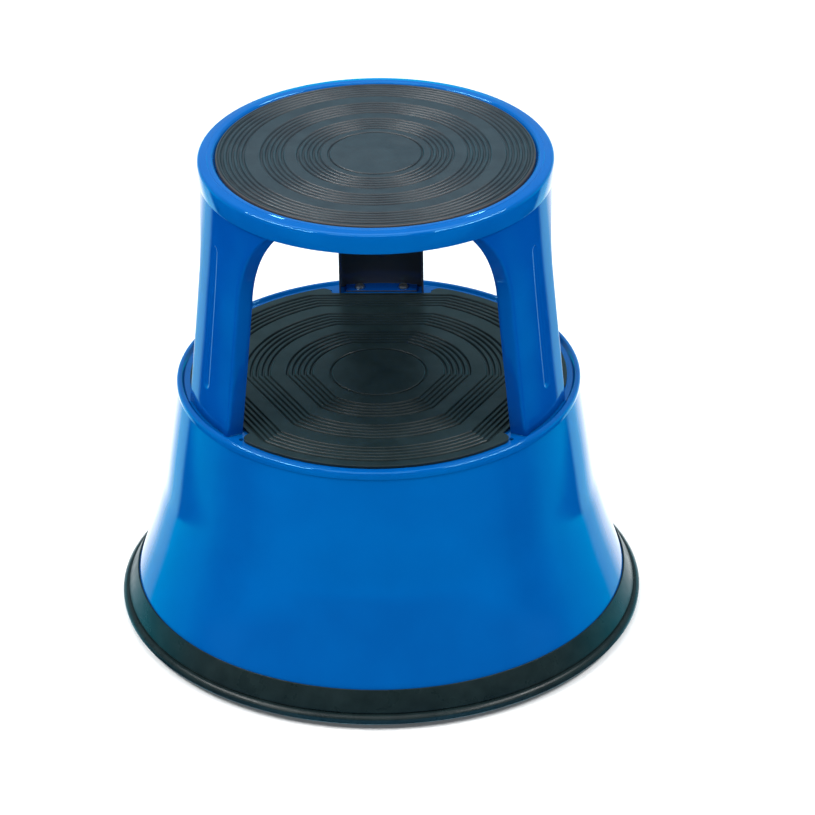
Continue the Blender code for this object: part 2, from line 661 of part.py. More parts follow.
def build_fork(name, seat):
    """Pressed fork: a crown under the washer and two legs raked back to the axle."""
    half = FORK_HALF_GAP + FORK_SHEET
    eye_bottom = WHEEL_RADIUS - 0.0062
    side = ((eye_bottom, -WHEEL_TRAIL, FORK_EYE_HALF_LENGTH * 0.6),
            (eye_bottom + 0.0032, -WHEEL_TRAIL, FORK_EYE_HALF_LENGTH),
            (WHEEL_RADIUS + 0.0040, -WHEEL_TRAIL, FORK_EYE_HALF_LENGTH),
            (FORK_CROWN_Z - 0.0070, -0.0020, FORK_CROWN_HALF_LENGTH - 0.0010),
            (FORK_CROWN_Z - 0.0022, 0.0, FORK_CROWN_HALF_LENGTH))
    crown = ((-half + 0.0022, FORK_CROWN_Z), (0.0, FORK_CROWN_Z), (half - 0.0022, FORK_CROWN_Z))
    path = [(-half, z, middle, reach) for z, middle, reach in side]
    path += [(y, z, 0.0, FORK_CROWN_HALF_LENGTH) for y, z in crown]
    path += [(half, z, middle, reach) for z, middle, reach in reversed(side)]
    rows = [[(middle + share * reach, y, z) for y, z, middle, reach in path]
            for share in (1.0, 0.0, -1.0)]
    fork = sheet_metal(name, rows, FORK_SHEET, PLATED_STEEL, seat)
    drill(fork, [(0.0, 0.0)], KINGPIN_RADIUS + GAP, FORK_CROWN_Z - 0.006, FORK_CROWN_Z + 0.004)
    drill_across(fork, -WHEEL_TRAIL, WHEEL_RADIUS, AXLE_RADIUS + GAP, 2.0 * half)


def lay_on_axle(obj):
    """Turn a piece that was turned about Z so that it lies along the axle."""
    obj.rotation_euler.x = pi / 2.0


def build_axle(name, hub_frame):
    half = FORK_HALF_GAP + FORK_SHEET + GAP
    profile = [(0.0, half + 0.0014), (0.0040, half + 0.0014), (0.0052, half + 0.0002),
               (0.0052, half), (AXLE_RADIUS, half), (AXLE_RADIUS, -half), (0.0046, -half),
               (0.0040, -half - 0.0012), (0.0, -half - 0.0012)]
    lay_on_axle(turned(name, profile, PLATED_STEEL, SMALL_STEPS, hub_frame))


def build_wheel_hub(name, hub_frame):
    half = WHEEL_WIDTH / 2.0
    boss = FORK_HALF_GAP - GAP
    bore = AXLE_RADIUS + GAP
    profile = [(bore, boss), (0.0058, boss), (0.0060, half - 0.0025),
               (HUB_RADIUS - 0.0016, half - 0.0025), (HUB_RADIUS, half - 0.0008),
               (HUB_RADIUS, -half + 0.0008), (HUB_RADIUS - 0.0016, -half + 0.0025),
               (0.0060, -half + 0.0025), (0.0058, -boss), (bore, -boss)]
    lay_on_axle(turned(name, profile, PLUNGER_NYLON, SMALL_STEPS, hub_frame))


def build_tyre(name, hub_frame):
    half = WHEEL_WIDTH / 2.0
    inside = HUB_RADIUS + GAP
    profile = [(inside, half - 0.0008), (WHEEL_RADIUS - 0.0032, half),
               (WHEEL_RADIUS - 0.0009, half - 0.0016), (WHEEL_RADIUS, half - 0.0042),
               (WHEEL_RADIUS, -half + 0.0042), (WHEEL_RADIUS - 0.0009, -half + 0.0016),
               (WHEEL_RADIUS - 0.0032, -half), (inside, -half + 0.0008)]
    lay_on_axle(turned(name, profile, TYRE_RUBBER, SMALL_STEPS + 8, hub_frame))


def build_castors():
    """One castor under each leg, on an empty that stands on its swivel and plunger axis."""
    for name, azimuth in zip(LEG_NAMES, LEG_AZIMUTHS):
        angle = radians(azimuth)
        place = (CASTOR_RADIUS * cos(angle), CASTOR_RADIUS * sin(angle), 0.0)
        seat = add_empty("castor_axis_" + name, place, azimuth)
        build_housing("castor_housing_" + name, seat)
        build_spring("spring_" + name, seat)
        build_plunger("plunger_" + name, seat)
        build_washer("thrust_washer_" + name, seat)
        build_kingpin("kingpin_" + name, seat)
        build_clip("retaining_clip_" + name, seat)
        build_fork("fork_" + name, seat)
        hub_frame = add_empty("axle_axis_" + name, (-WHEEL_TRAIL, 0.0, WHEEL_RADIUS), 0.0, seat)
        build_axle("axle_" + name, hub_frame)
        build_wheel_hub("wheel_hub_" + name, hub_frame)
        build_tyre("tyre_" + name, hub_frame)


leg_frames = [add_empty("leg_frame_" + name, (0.0, 0.0, 0.0), azimuth)
              for name, azimuth in zip(LEG_NAMES, LEG_AZIMUTHS)]
build_top_cap()
build_top_mat()
build_legs(leg_frames)
build_step_plate()
build_lower_mat()
build_base_skirt()
build_bumper_ring()
build_fasteners(leg_frames)
build_castors()
bpy.context.view_layer.update()
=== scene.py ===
import json
from math import asin, atan2, cos, degrees, hypot, pi, radians, sin, sqrt

import bmesh
import bpy
from mathutils import Matrix, Vector


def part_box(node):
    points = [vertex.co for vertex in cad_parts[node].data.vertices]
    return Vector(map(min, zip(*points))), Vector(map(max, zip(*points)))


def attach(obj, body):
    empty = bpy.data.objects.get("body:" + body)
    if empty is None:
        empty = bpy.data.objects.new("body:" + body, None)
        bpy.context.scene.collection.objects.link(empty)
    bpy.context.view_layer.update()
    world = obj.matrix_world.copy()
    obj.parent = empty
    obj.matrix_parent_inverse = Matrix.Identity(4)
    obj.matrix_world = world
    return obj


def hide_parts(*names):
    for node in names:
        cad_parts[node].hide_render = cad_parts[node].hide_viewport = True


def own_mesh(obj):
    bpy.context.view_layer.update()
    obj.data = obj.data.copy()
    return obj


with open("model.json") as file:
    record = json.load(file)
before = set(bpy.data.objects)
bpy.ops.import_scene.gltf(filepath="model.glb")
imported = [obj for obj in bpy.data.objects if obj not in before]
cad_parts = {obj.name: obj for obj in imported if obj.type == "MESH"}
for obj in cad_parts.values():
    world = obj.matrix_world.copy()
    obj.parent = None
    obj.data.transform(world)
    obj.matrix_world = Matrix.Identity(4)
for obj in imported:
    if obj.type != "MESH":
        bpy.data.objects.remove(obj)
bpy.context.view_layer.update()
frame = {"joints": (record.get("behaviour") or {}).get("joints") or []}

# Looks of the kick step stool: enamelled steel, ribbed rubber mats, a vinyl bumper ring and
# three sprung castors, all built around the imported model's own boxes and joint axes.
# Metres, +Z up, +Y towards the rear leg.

# Places and sizes taken from the frame

GAP = 0.0003
LEG_NAMES = ("rear", "front_left", "front_right")
JOINTS = {joint["name"]: joint for joint in frame["joints"]}


def swivel_axis(name):
    return Vector(JOINTS["castor_swivel_" + name]["pos_m"])


def leg_azimuth(name):
    axis = swivel_axis(name)
    return atan2(axis.y, axis.x)


CAP_LOW, CAP_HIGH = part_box("top_cap")
TOP_MAT_LOW, TOP_MAT_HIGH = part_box("top_mat")
LEG_LOW, LEG_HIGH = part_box("leg_rear")
PLATE_LOW, PLATE_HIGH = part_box("step_plate")
LOWER_MAT_LOW, LOWER_MAT_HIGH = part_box("lower_mat")
SKIRT_LOW, SKIRT_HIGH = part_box("base_skirt")
BUMPER_LOW, BUMPER_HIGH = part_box("bumper_ring")
HOUSING_LOW, HOUSING_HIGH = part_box("castor_housing_rear")
PLUNGER_LOW, PLUNGER_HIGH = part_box("plunger_rear")
SPRING_LOW, SPRING_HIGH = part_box("spring_rear")
WASHER_LOW, WASHER_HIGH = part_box("thrust_washer_rear")
FORK_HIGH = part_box("fork_rear")[1]
KINGPIN_LOW, KINGPIN_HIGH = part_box("kingpin_rear")
CLIP_LOW, CLIP_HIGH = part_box("retaining_clip_rear")
TYRE_LOW, TYRE_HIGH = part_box("tyre_rear")

SHEET = 0.0015
ROUND_STEPS = 180       # facets round the large turned pieces
CASTOR_STEPS = 64       # facets round the cups, sleeves and washers
SMALL_STEPS = 48        # facets round pins, hubs and screws
FINE_STEPS = 32         # facets round axles and rivets
HOLE_STEPS = 24         # facets round cut holes
TYRE_STEPS = 72
SHARP_ANGLE = 32.0      # degrees; edges that turn by more than this stay sharp
CAP_RADIUS = CAP_HIGH.y
CAP_RECESS_RADIUS = TOP_MAT_HIGH.y + 0.0010
CAP_FLOOR_Z = TOP_MAT_LOW.z - GAP
PLATE_Z = LOWER_MAT_LOW.z - GAP
RIM_RADIUS = PLATE_HIGH.y
LOWER_MAT_RADIUS = 0.1584
CASTOR_RADIUS = swivel_axis("rear").y
WHEEL_RADIUS = (TYRE_HIGH.z - TYRE_LOW.z) / 2.0
WHEEL_TRAIL = CASTOR_RADIUS - (TYRE_LOW.y + TYRE_HIGH.y) / 2.0


# Materials

def node_material(name, roughness, metallic=0.0):
    """A material with a Principled shader; returns the material, its node tree and its shader."""
    material = bpy.data.materials.new(name)
    material.use_nodes = True
    tree = material.node_tree
    shader = tree.nodes["Principled BSDF"]
    shader.inputs["Roughness"].default_value = roughness
    shader.inputs["Metallic"].default_value = metallic
    return material, tree, shader


def noise(tree, scale, detail=2.0, roughness=0.5):
    coordinates = tree.nodes.new("ShaderNodeTexCoord")
    texture = tree.nodes.new("ShaderNodeTexNoise")
    texture.inputs["Scale"].default_value = scale
    texture.inputs["Detail"].default_value = detail
    texture.inputs["Roughness"].default_value = roughness
    tree.links.new(coordinates.outputs["Object"], texture.inputs["Vector"])
    return texture.outputs["Fac"]


def spread(tree, value, low, high, start=0.35, end=0.65):
    """Map a value onto a range; start and end as given suit a noise value."""
    node = tree.nodes.new("ShaderNodeMapRange")
    node.inputs["From Min"].default_value = start
    node.inputs["From Max"].default_value = end
    node.inputs["To Min"].default_value = low
    node.inputs["To Max"].default_value = high
    tree.links.new(value, node.inputs["Value"])
    return node.outputs["Result"]


def between(tree, value, first, second, start=0.35, end=0.65):
    """Blend two colours by a value."""
    node = tree.nodes.new("ShaderNodeValToRGB")
    node.color_ramp.elements[0].position = start
    node.color_ramp.elements[0].color = (*first, 1.0)
    node.color_ramp.elements[1].position = end
    node.color_ramp.elements[1].color = (*second, 1.0)
    tree.links.new(value, node.inputs["Fac"])
    return node.outputs["Color"]


def product(tree, first, second):
    node = tree.nodes.new("ShaderNodeMath")
    node.operation = "MULTIPLY"
    tree.links.new(first, node.inputs[0])
    tree.links.new(second, node.inputs[1])
    return node.outputs["Value"]


def blend(tree, factor, colour, other):
    """Mix a colour, linked or plain, towards a plain one."""
    mix = tree.nodes.new("ShaderNodeMix")
    mix.data_type = "RGBA"
    tree.links.new(factor, mix.inputs["Factor"])
    if isinstance(colour, tuple):
        mix.inputs[6].default_value = (*colour, 1.0)
    else:
        tree.links.new(colour, mix.inputs[6])
    mix.inputs[7].default_value = (*other, 1.0)
    return mix.outputs[2]


def bump(tree, shader, layers):
    """Stack bump layers, each a (height value, depth in metres)."""
    below = None
    for height, depth in layers:
        node = tree.nodes.new("ShaderNodeBump")
        node.inputs["Strength"].default_value = 1.0
        node.inputs["Distance"].default_value = depth
        tree.links.new(height, node.inputs["Height"])
        if below:
            tree.links.new(below, node.inputs["Normal"])
        below = node.outputs["Normal"]
    tree.links.new(below, shader.inputs["Normal"])


def flat_position(tree):
    """Sockets for a point's place with its height set to nought, and for its normal."""
    coordinates = tree.nodes.new("ShaderNodeTexCoord")
    flatten = tree.nodes.new("ShaderNodeVectorMath")
    flatten.operation = "MULTIPLY"
    flatten.inputs[1].default_value = (1.0, 1.0, 0.0)
    tree.links.new(coordinates.outputs["Object"], flatten.inputs[0])
    return flatten.outputs["Vector"], coordinates.outputs["Normal"]


def facing_inward(tree):
    """1 where a surface faces the stool's centre line, 0 elsewhere; it places the painted shade on
    the legs' insides.
    """
    position, normal = flat_position(tree)
    outward = tree.nodes.new("ShaderNodeVectorMath")
    outward.operation = "NORMALIZE"
    facing = tree.nodes.new("ShaderNodeVectorMath")
    facing.operation = "DOT_PRODUCT"
    tree.links.new(position, outward.inputs[0])
    tree.links.new(outward.outputs["Vector"], facing.inputs[0])
    tree.links.new(normal, facing.inputs[1])
    return spread(tree, facing.outputs["Value"], 1.0, 0.0, -0.7, -0.5)


def distance_from_axis(tree):
    length = tree.nodes.new("ShaderNodeVectorMath")
    length.operation = "LENGTH"
    tree.links.new(flat_position(tree)[0], length.inputs[0])
    return length.outputs["Value"]


PAINT_SHEEN = (0.22, 0.72, 0.95)


def enamel(name, deep, bright, inside=None):
    """Glossy blue stove enamel with a faint orange peel and slightly uneven sheet under it.

    inside, where given, is a dark colour painted on surfaces that face the centre line, as painted
    shade.
    """
    material, tree, shader = node_material(name, 0.06)
    colour = between(tree, noise(tree, 22.0, 3.0), deep, bright)
    # painted shade: surfaces that face the centre line are blended to the dark inside colour
    if inside:
        colour = blend(tree, facing_inward(tree), colour, inside)
    tree.links.new(colour, shader.inputs["Base Color"])
    tree.links.new(spread(tree, noise(tree, 160.0, 3.0), 0.035, 0.060), shader.inputs["Roughness"])
    shader.inputs["IOR"].default_value = 1.5
    shader.inputs["Specular Tint"].default_value = (*PAINT_SHEEN, 1.0)
    orange_peel = (noise(tree, 700.0, 1.0), 0.000004)
    uneven_sheet = (noise(tree, 26.0, 1.0), 0.00012)
    bump(tree, shader, [orange_peel, uneven_sheet])
    return material


def rubber(name, dark, light, roughness, border=None, gloss=0.5):
    """Moulded rubber: mottled black with a fine grain and duller, dustier patches."""
    material, tree, shader = node_material(name, roughness)
    colour = between(tree, noise(tree, 60.0, 6.0, 0.65), dark, light)
    if border:
        border_radius, border_colour = border
        fade = border_radius + 0.0004
        edge = spread(tree, distance_from_axis(tree), 0.0, 1.0, border_radius, fade)
        colour = blend(tree, edge, colour, border_colour)
    tree.links.new(colour, shader.inputs["Base Color"])
    patches = spread(tree, noise(tree, 35.0, 4.0, 0.6), roughness - 0.05, roughness + 0.08)
    tree.links.new(patches, shader.inputs["Roughness"])
    shader.inputs["Specular IOR Level"].default_value = gloss
    grain = (noise(tree, 2600.0, 2.0, 0.7), 0.00003)
    waviness = (noise(tree, 420.0, 2.0), 0.00002)
    bump(tree, shader, [grain, waviness])
    return material


def bare_metal(name, dark, light, roughness, grain):
    """Plated or bare steel with a mottled finish."""
    material, tree, shader = node_material(name, roughness, 1.0)
    colour = between(tree, noise(tree, 240.0, 5.0, 0.6), dark, light)
    tree.links.new(colour, shader.inputs["Base Color"])
    uneven = spread(tree, noise(tree, 500.0, 4.0, 0.6), roughness - 0.06, roughness + 0.1)
    tree.links.new(uneven, shader.inputs["Roughness"])
    bump(tree, shader, [(noise(tree, grain, 3.0, 0.6), 0.00001)])
    return material


def moulded_plastic(name, dark, light, roughness):
    material, tree, shader = node_material(name, roughness)
    colour = between(tree, noise(tree, 120.0, 4.0), dark, light)
    tree.links.new(colour, shader.inputs["Base Color"])
    uneven = spread(tree, noise(tree, 700.0, 3.0), roughness - 0.05, roughness + 0.07)
    tree.links.new(uneven, shader.inputs["Roughness"])
    shader.inputs["Subsurface Weight"].default_value = 0.05
    shader.inputs["Subsurface Radius"].default_value = (0.001, 0.001, 0.0008)
    bump(tree, shader, [(noise(tree, 1500.0, 2.0), 0.000015)])
    return material


ENAMEL = enamel("blue_enamel_paint", (0.0001, 0.078, 0.310), (0.0001, 0.085, 0.328))
# Legs: the same blue enamel made darker all over as painted shade from the cap above them, and near
# black on the channel insides as painted shade.
SHADED_LEG_ENAMEL = enamel("leg_enamel_painted_shade", (0.0001, 0.052, 0.265), (0.0001, 0.058, 0.282),
                    inside=(0.060, 0.066, 0.074))
TOP_RUBBER = rubber("top_mat_rubber", (0.010, 0.015, 0.021), (0.016, 0.024, 0.031), 0.38,
                    border=(0.1300, (0.034, 0.029, 0.028)))
LOWER_RUBBER = rubber("lower_mat_rubber", (0.006, 0.013, 0.014), (0.010, 0.020, 0.022), 0.38,
                      gloss=0.28)
BUMPER_VINYL = rubber("bumper_vinyl", (0.005, 0.011, 0.012), (0.009, 0.018, 0.019), 0.30,
                      gloss=0.18)
TYRE_RUBBER = rubber("tyre_rubber", (0.060, 0.060, 0.060), (0.095, 0.095, 0.093), 0.55)
ZINC = bare_metal("zinc_plate", (0.52, 0.52, 0.50), (0.68, 0.67, 0.63), 0.30, 1400.0)
SPRING_STEEL = bare_metal("spring_steel", (0.15, 0.15, 0.16), (0.26, 0.26, 0.26), 0.36, 900.0)
NYLON = moulded_plastic("nylon", (0.60, 0.60, 0.56), (0.70, 0.69, 0.65), 0.42)


# Mesh helpers

def mesh_object(name, bm, material, sharp_angle=SHARP_ANGLE):
    bmesh.ops.recalc_face_normals(bm, faces=bm.faces)
    mesh = bpy.data.meshes.new(name)
    bm.to_mesh(mesh)
    bm.free()
    return smooth_object(name, mesh, material, sharp_angle)


def smooth_object(name, mesh, material, sharp_angle=SHARP_ANGLE):
    mesh.materials.clear()
    mesh.materials.append(material)
    mesh.shade_smooth()
    mesh.set_sharp_from_angle(angle=radians(sharp_angle))
    obj = bpy.data.objects.new(name, mesh)
    bpy.context.scene.collection.objects.link(obj)
    return obj


def apply_modifiers(obj, sharp_angle=SHARP_ANGLE):
    depsgraph = bpy.context.evaluated_depsgraph_get()
    mesh = bpy.data.meshes.new_from_object(obj.evaluated_get(depsgraph))
    obj.modifiers.clear()
    obj.data = mesh
    mesh.shade_smooth()
    mesh.set_sharp_from_angle(angle=radians(sharp_angle))


def softened(profile, radius, closed, segments=3):
    """Round every corner of a profile; a corner's radius shrinks where its sides are short."""
    count = len(profile)
    points = []
    for i, corner in enumerate(profile):
        here = Vector(corner)
        if not closed and i in (0, count - 1):
            points.append(here)
            continue
        before = Vector(profile[i - 1]) - here
        after = Vector(profile[(i + 1) % count]) - here
        turn = pi - before.angle(after)
        reach = min(radius, 0.45 * before.length, 0.45 * after.length)
        if turn < radians(8.0) or reach < 0.00002:
            points.append(here)
            continue
        start = here + before.normalized() * reach
        end = here + after.normalized() * reach
        for step in range(segments + 1):
            t = step / segments
            points.append(start * (1 - t) ** 2 + here * (2 * t * (1 - t)) + end * t ** 2)
    return [tuple(point) for point in points]


def turned(name, profile, material, steps=ROUND_STEPS, soften=0.0004, warp=None,
           sharp_angle=SHARP_ANGLE):
    """Turn a profile of (radius, height) points about Z, its corners softened.

    A profile whose ends are on the axis is a solid, any other is closed into a ring. warp
    gives the radius at an angle where the shape isn't round.
    """
    solid = profile[0][0] == 0.0
    if soften:
        profile = softened(profile, soften, closed=not solid)
    bm = bmesh.new()
    rings = []
    for radius, height in profile:
        if radius < 1e-9:
            rings.append([bm.verts.new((0.0, 0.0, height))] * steps)
            continue
        ring = []
        for step in range(steps):
            angle = 2.0 * pi * step / steps
            reach = warp(radius, angle) if warp else radius
            ring.append(bm.verts.new((reach * cos(angle), reach * sin(angle), height)))
        rings.append(ring)
    following = rings[1:] if solid else rings[1:] + rings[:1]
    for upper, lower in zip(rings, following):
        for step in range(steps):
            other = (step + 1) % steps
            corners = []
            for vert in (upper[step], lower[step], lower[other], upper[other]):
                if vert not in corners:
                    corners.append(vert)
            bm.faces.new(corners)
    return mesh_object(name, bm, material, sharp_angle)


def arc(centre, radius, start, end, count):
    """Points on an arc in the profile plane, with both ends; angles in degrees."""
    points = []
    for i in range(count + 1):
        angle = radians(start + (end - start) * i / count)
        points.append((centre[0] + radius * cos(angle), centre[1] + radius * sin(angle)))
    return points


def cut(obj, bm, sharp_angle=SHARP_ANGLE):
    """Subtract the shape in bm, which is in the object's own frame."""
    bmesh.ops.recalc_face_normals(bm, faces=bm.faces)
    mesh = bpy.data.meshes.new(obj.name + "_cutter")
    bm.to_mesh(mesh)
    bm.free()
    cutter = bpy.data.objects.new(obj.name + "_cutter", mesh)
    bpy.context.scene.collection.objects.link(cutter)
    boolean = obj.modifiers.new("Cut", "BOOLEAN")
    boolean.operation = "DIFFERENCE"
    boolean.solver = "EXACT"
    boolean.object = cutter
    bpy.context.view_layer.update()
    apply_modifiers(obj, sharp_angle)
    bpy.data.objects.remove(cutter)


def round_holes(obj, places, radius, bottom, top, sharp_angle=SHARP_ANGLE):
    """Cut upright holes of one radius at (x, y) places."""
    bm = bmesh.new()
    for x, y in places:
        centre = Matrix.Translation((x, y, (bottom + top) / 2.0))
        bmesh.ops.create_cone(bm, cap_ends=True, segments=HOLE_STEPS, radius1=radius,
                              radius2=radius, depth=top - bottom, matrix=centre)
    cut(obj, bm, sharp_angle)


def prism(bm, outline, bottom, top):
    """Add an upright prism over an outline of (x, y) points."""
    lower = [bm.verts.new((x, y, bottom)) for x, y in outline]
    upper = [bm.verts.new((x, y, top)) for x, y in outline]
    bm.faces.new(lower)
    bm.faces.new(upper)
    for i in range(len(outline)):
        j = (i + 1) % len(outline)
        bm.faces.new((lower[i], lower[j], upper[j], upper[i]))


def thicken(obj, thickness):
    """Give a surface the thickness of a sheet, on its inner side."""
    solidify = obj.modifiers.new("Sheet", "SOLIDIFY")
    solidify.thickness = thickness
    solidify.offset = -1.0
    solidify.use_even_offset = True
    bpy.context.view_layer.update()
    apply_modifiers(obj)


def bevel_edges(obj, width, angle=35.0):
    bevel = obj.modifiers.new("Bevel", "BEVEL")
    bevel.width = width
    bevel.segments = 2
    bevel.limit_method = "ANGLE"
    bevel.angle_limit = radians(angle)
    bpy.context.view_layer.update()
    apply_modifiers(obj, 40.0)


def place(obj, matrix):
    obj.data.transform(matrix)
    return obj


def finish_piece(obj, body, slot, *nodes):
    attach(obj, body)
    if nodes:
        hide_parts(*nodes)


def about_axis(azimuth):
    return Matrix.Rotation(azimuth, 4, "Z")


def leg_pairs(x, y):
    """The two mirrored (x, y) places that each leg has, in the stool's frame."""
    places = []
    for name in LEG_NAMES:
        turn = Matrix.Rotation(leg_azimuth(name), 2)
        places += [tuple(turn @ Vector((x, side * y))) for side in (-1.0, 1.0)]
    return places


def curve_through(knots, x):
    """Smooth value at x of a curve through (x, y) knots, with the slope kept at its ends."""
    if x <= knots[0][0]:
        first, second = knots[0], knots[1]
        return first[1] + (second[1] - first[1]) / (second[0] - first[0]) * (x - first[0])
    slopes = []
    for i in range(len(knots)):
        before = knots[max(i - 1, 0)]
        after = knots[min(i + 1, len(knots) - 1)]
        slopes.append((after[1] - before[1]) / (after[0] - before[0]))
    for i in range(len(knots) - 1):
        (x0, y0), (x1, y1) = knots[i], knots[i + 1]
        if x <= x1 or i == len(knots) - 2:
            span = x1 - x0
            t = (x - x0) / span
            return (y0 * (1 + 2 * t) * (1 - t) ** 2 + span * slopes[i] * t * (1 - t) ** 2
                    + y1 * t * t * (3 - 2 * t) + span * slopes[i + 1] * t * t * (t - 1))


# Fastener places, in each leg's own frame: along its radius, and to both sides of it

HEAD_RIVET_X = 0.1240
HEAD_RIVET_Y = 0.0170
HEAD_RIVET_HOLE = 0.0025        # radius
FOOT_SCREW_X = 0.1525
FOOT_SCREW_Y = 0.0190
FOOT_SCREW_HOLE = 0.0027
MARGIN = 0.004                  # how far a cutter reaches past a sheet
DEEP_MARGIN = 0.005


# Upper step

def build_top_cap():
    """Pressed cap with a broad rolled shoulder, a fine crease inside it and a short skirt."""
    shoulder = 0.0034
    crease = 0.1386
    outer = [(0.0, CAP_FLOOR_Z), (CAP_RECESS_RADIUS - 0.0012, CAP_FLOOR_Z)]
    outer += arc((CAP_RECESS_RADIUS - 0.0012, CAP_FLOOR_Z + 0.0012), 0.0012, -90.0, -20.0, 4)
    outer += [(CAP_RECESS_RADIUS + 0.0012, CAP_HIGH.z - 0.0011)]
    outer += arc((CAP_RECESS_RADIUS + 0.0034, CAP_HIGH.z - 0.0022), 0.0022, 150.0, 90.0, 4)
    outer += [(crease - 0.0003, CAP_HIGH.z - 0.00005), (crease, CAP_HIGH.z - 0.00035),
              (crease + 0.0003, CAP_HIGH.z - 0.00040), (crease + 0.0007, CAP_HIGH.z - 0.00025),
              (crease + 0.0026, CAP_HIGH.z - 0.00065)]
    outer += arc((CAP_RADIUS - shoulder, CAP_HIGH.z - 0.0010 - shoulder), shoulder, 84.0, 0.0, 9)
    outer += [(CAP_RADIUS, CAP_LOW.z + 0.0006), (CAP_RADIUS - 0.0003, CAP_LOW.z)]
    inner_radius = CAP_RADIUS - 0.0011
    inner = [(inner_radius, CAP_LOW.z), (inner_radius, CAP_HIGH.z - 0.0046),
             (0.1430, CAP_HIGH.z - 0.0028), (0.1375, CAP_HIGH.z - 0.0018),
             (0.1352, CAP_HIGH.z - 0.0022), (CAP_RECESS_RADIUS + 0.0013, CAP_FLOOR_Z - SHEET),
             (0.0, CAP_FLOOR_Z - SHEET)]
    cap = turned("upper_step_cap", outer + inner, ENAMEL, soften=0.0)
    round_holes(cap, leg_pairs(HEAD_RIVET_X, HEAD_RIVET_Y), HEAD_RIVET_HOLE,
                CAP_FLOOR_Z - MARGIN, CAP_FLOOR_Z + MARGIN)
    finish_piece(cap, "stool", "blue_enamel", "top_cap")


CHORD_HALF_ANGLE = radians(24.0)    # half the angle over which a rib runs straight past a leg
RIB_GROOVE_DEPTH = 0.0014
MAT_SHARP_ANGLE = 14.0              # degrees, so that the flats between the grooves stay flat


def smoothstep(value, start, end):
    t = min(max((value - start) / (end - start), 0.0), 1.0)
    return t * t * (3.0 - 2.0 * t)


def rib_warp(inner, outer, edge):
    """Radius of a rib that is round except for a straight chord facing each leg."""
    azimuths = [leg_azimuth(name) for name in LEG_NAMES]

    def warp(radius, angle):
        offset = min(abs((angle - azimuth + pi) % (2.0 * pi) - pi) for azimuth in azimuths)
        if offset >= CHORD_HALF_ANGLE:
            return radius
        chord = cos(CHORD_HALF_ANGLE) / cos(offset)
        share = smoothstep(radius, inner, outer) * (1.0 - smoothstep(radius, *edge))
        return radius * (1.0 + (chord - 1.0) * share)

    return warp


def groove(radius, top, half_width=0.00115):
    """Profile points of one moulded groove with chamfered lips, from its inner edge outwards."""
    side = ((half_width + 0.00065, 0.0), (half_width + 0.00045, 0.00005),
            (half_width + 0.00010, 0.00035), (half_width, 0.00050),
            (0.80 * half_width, 0.00085), (0.55 * half_width, RIB_GROOVE_DEPTH))
    points = [(radius - offset, top - drop) for offset, drop in side]
    return points + [(radius + offset, top - drop) for offset, drop in reversed(side)]


def ribbed_profile(groups, circle, top, bottom, rim):
    """Profile of a mat from its centre outwards: a ringed centre, then groups of grooves."""
    profile = [(0.0, top), (circle * 0.5, top)]
    profile += groove(circle, top, 0.0009)
    for first, pitch, count in groups:
        profile.append((first - 0.0045, top))
        for i in range(count):
            profile += groove(first + pitch * i, top)
    return profile + rim + [(rim[-1][0], bottom), (0.0, bottom)]


def build_top_mat():
    top = TOP_MAT_HIGH.z
    edge = TOP_MAT_HIGH.y
    groups = ((0.0465, 0.0043, 5), (0.0765, 0.0043, 5), (0.1085, 0.0043, 5))
    rim = [(0.1272, top), (0.1288, top)]
    rim += [(0.1292, top - 0.0006), (0.1297, top - 0.0006), (0.1301, top + 0.00005),
            (edge - 0.0010, top + 0.00005), (edge - 0.0003, top - 0.0003), (edge, top - 0.0011)]
    profile = ribbed_profile(groups, 0.0385, top, TOP_MAT_LOW.z, rim)
    mat = turned("upper_step_mat", profile, TOP_RUBBER, soften=0.0, sharp_angle=MAT_SHARP_ANGLE)
    round_holes(mat, leg_pairs(HEAD_RIVET_X, HEAD_RIVET_Y), 0.0046, TOP_MAT_LOW.z - 0.002,
                TOP_MAT_LOW.z + 0.0016, sharp_angle=MAT_SHARP_ANGLE)
    finish_piece(mat, "stool", "mat_rubber", "top_mat")


# Legs

LEG_HALF_WIDTH = 0.0367
LEG_CORNER_RADIUS = 0.0030
LEG_FLANGE_DEPTH = 0.0145
FLARE_START_Z = 0.335
FLARE_RADIUS = 0.094
TAB_HALF_WIDTH = 0.0310
BEND_RADIUS = 0.0022
EMBOSS_HALF_WIDTH = 0.0048
EMBOSS_FLAT_HALF_WIDTH = 0.0022
EMBOSS_DEPTH = 0.0010
EMBOSS_LOW_Z = 0.2410
EMBOSS_HIGH_Z = 0.3700
LEG_OUTLINE = ((0.2125, 0.1623), (0.280, 0.1552), (0.345, 0.1490), (0.402, 0.1449),
               (0.416, 0.1448))


def leg_half_width(z):
    rise = min(z, CAP_LOW.z + 0.001) - FLARE_START_Z
    if rise <= 0.0:
        return LEG_HALF_WIDTH
    return LEG_HALF_WIDTH + FLARE_RADIUS - sqrt(FLARE_RADIUS ** 2 - rise ** 2)


def emboss_depth(y, z):
    """Depth of the pressed groove: a long slot with round ends and sloped sides."""
    low = EMBOSS_LOW_Z + EMBOSS_HALF_WIDTH
    high = EMBOSS_HIGH_Z - EMBOSS_HALF_WIDTH
    beyond = max(low - z, z - high, 0.0)
    slope_width = EMBOSS_HALF_WIDTH - EMBOSS_FLAT_HALF_WIDTH
    rise = (hypot(y, beyond) - EMBOSS_FLAT_HALF_WIDTH) / slope_width
    return EMBOSS_DEPTH * (1.0 - min(max(rise, 0.0), 1.0))


def leg_columns():
    """Distances from the middle line of a leg's face at which it is meshed, up to the tab."""
    fine = [EMBOSS_HALF_WIDTH * 1.08 * i / 11 for i in range(12)]
    return fine + [0.0080, 0.0125, 0.0170, 0.0220, TAB_HALF_WIDTH]


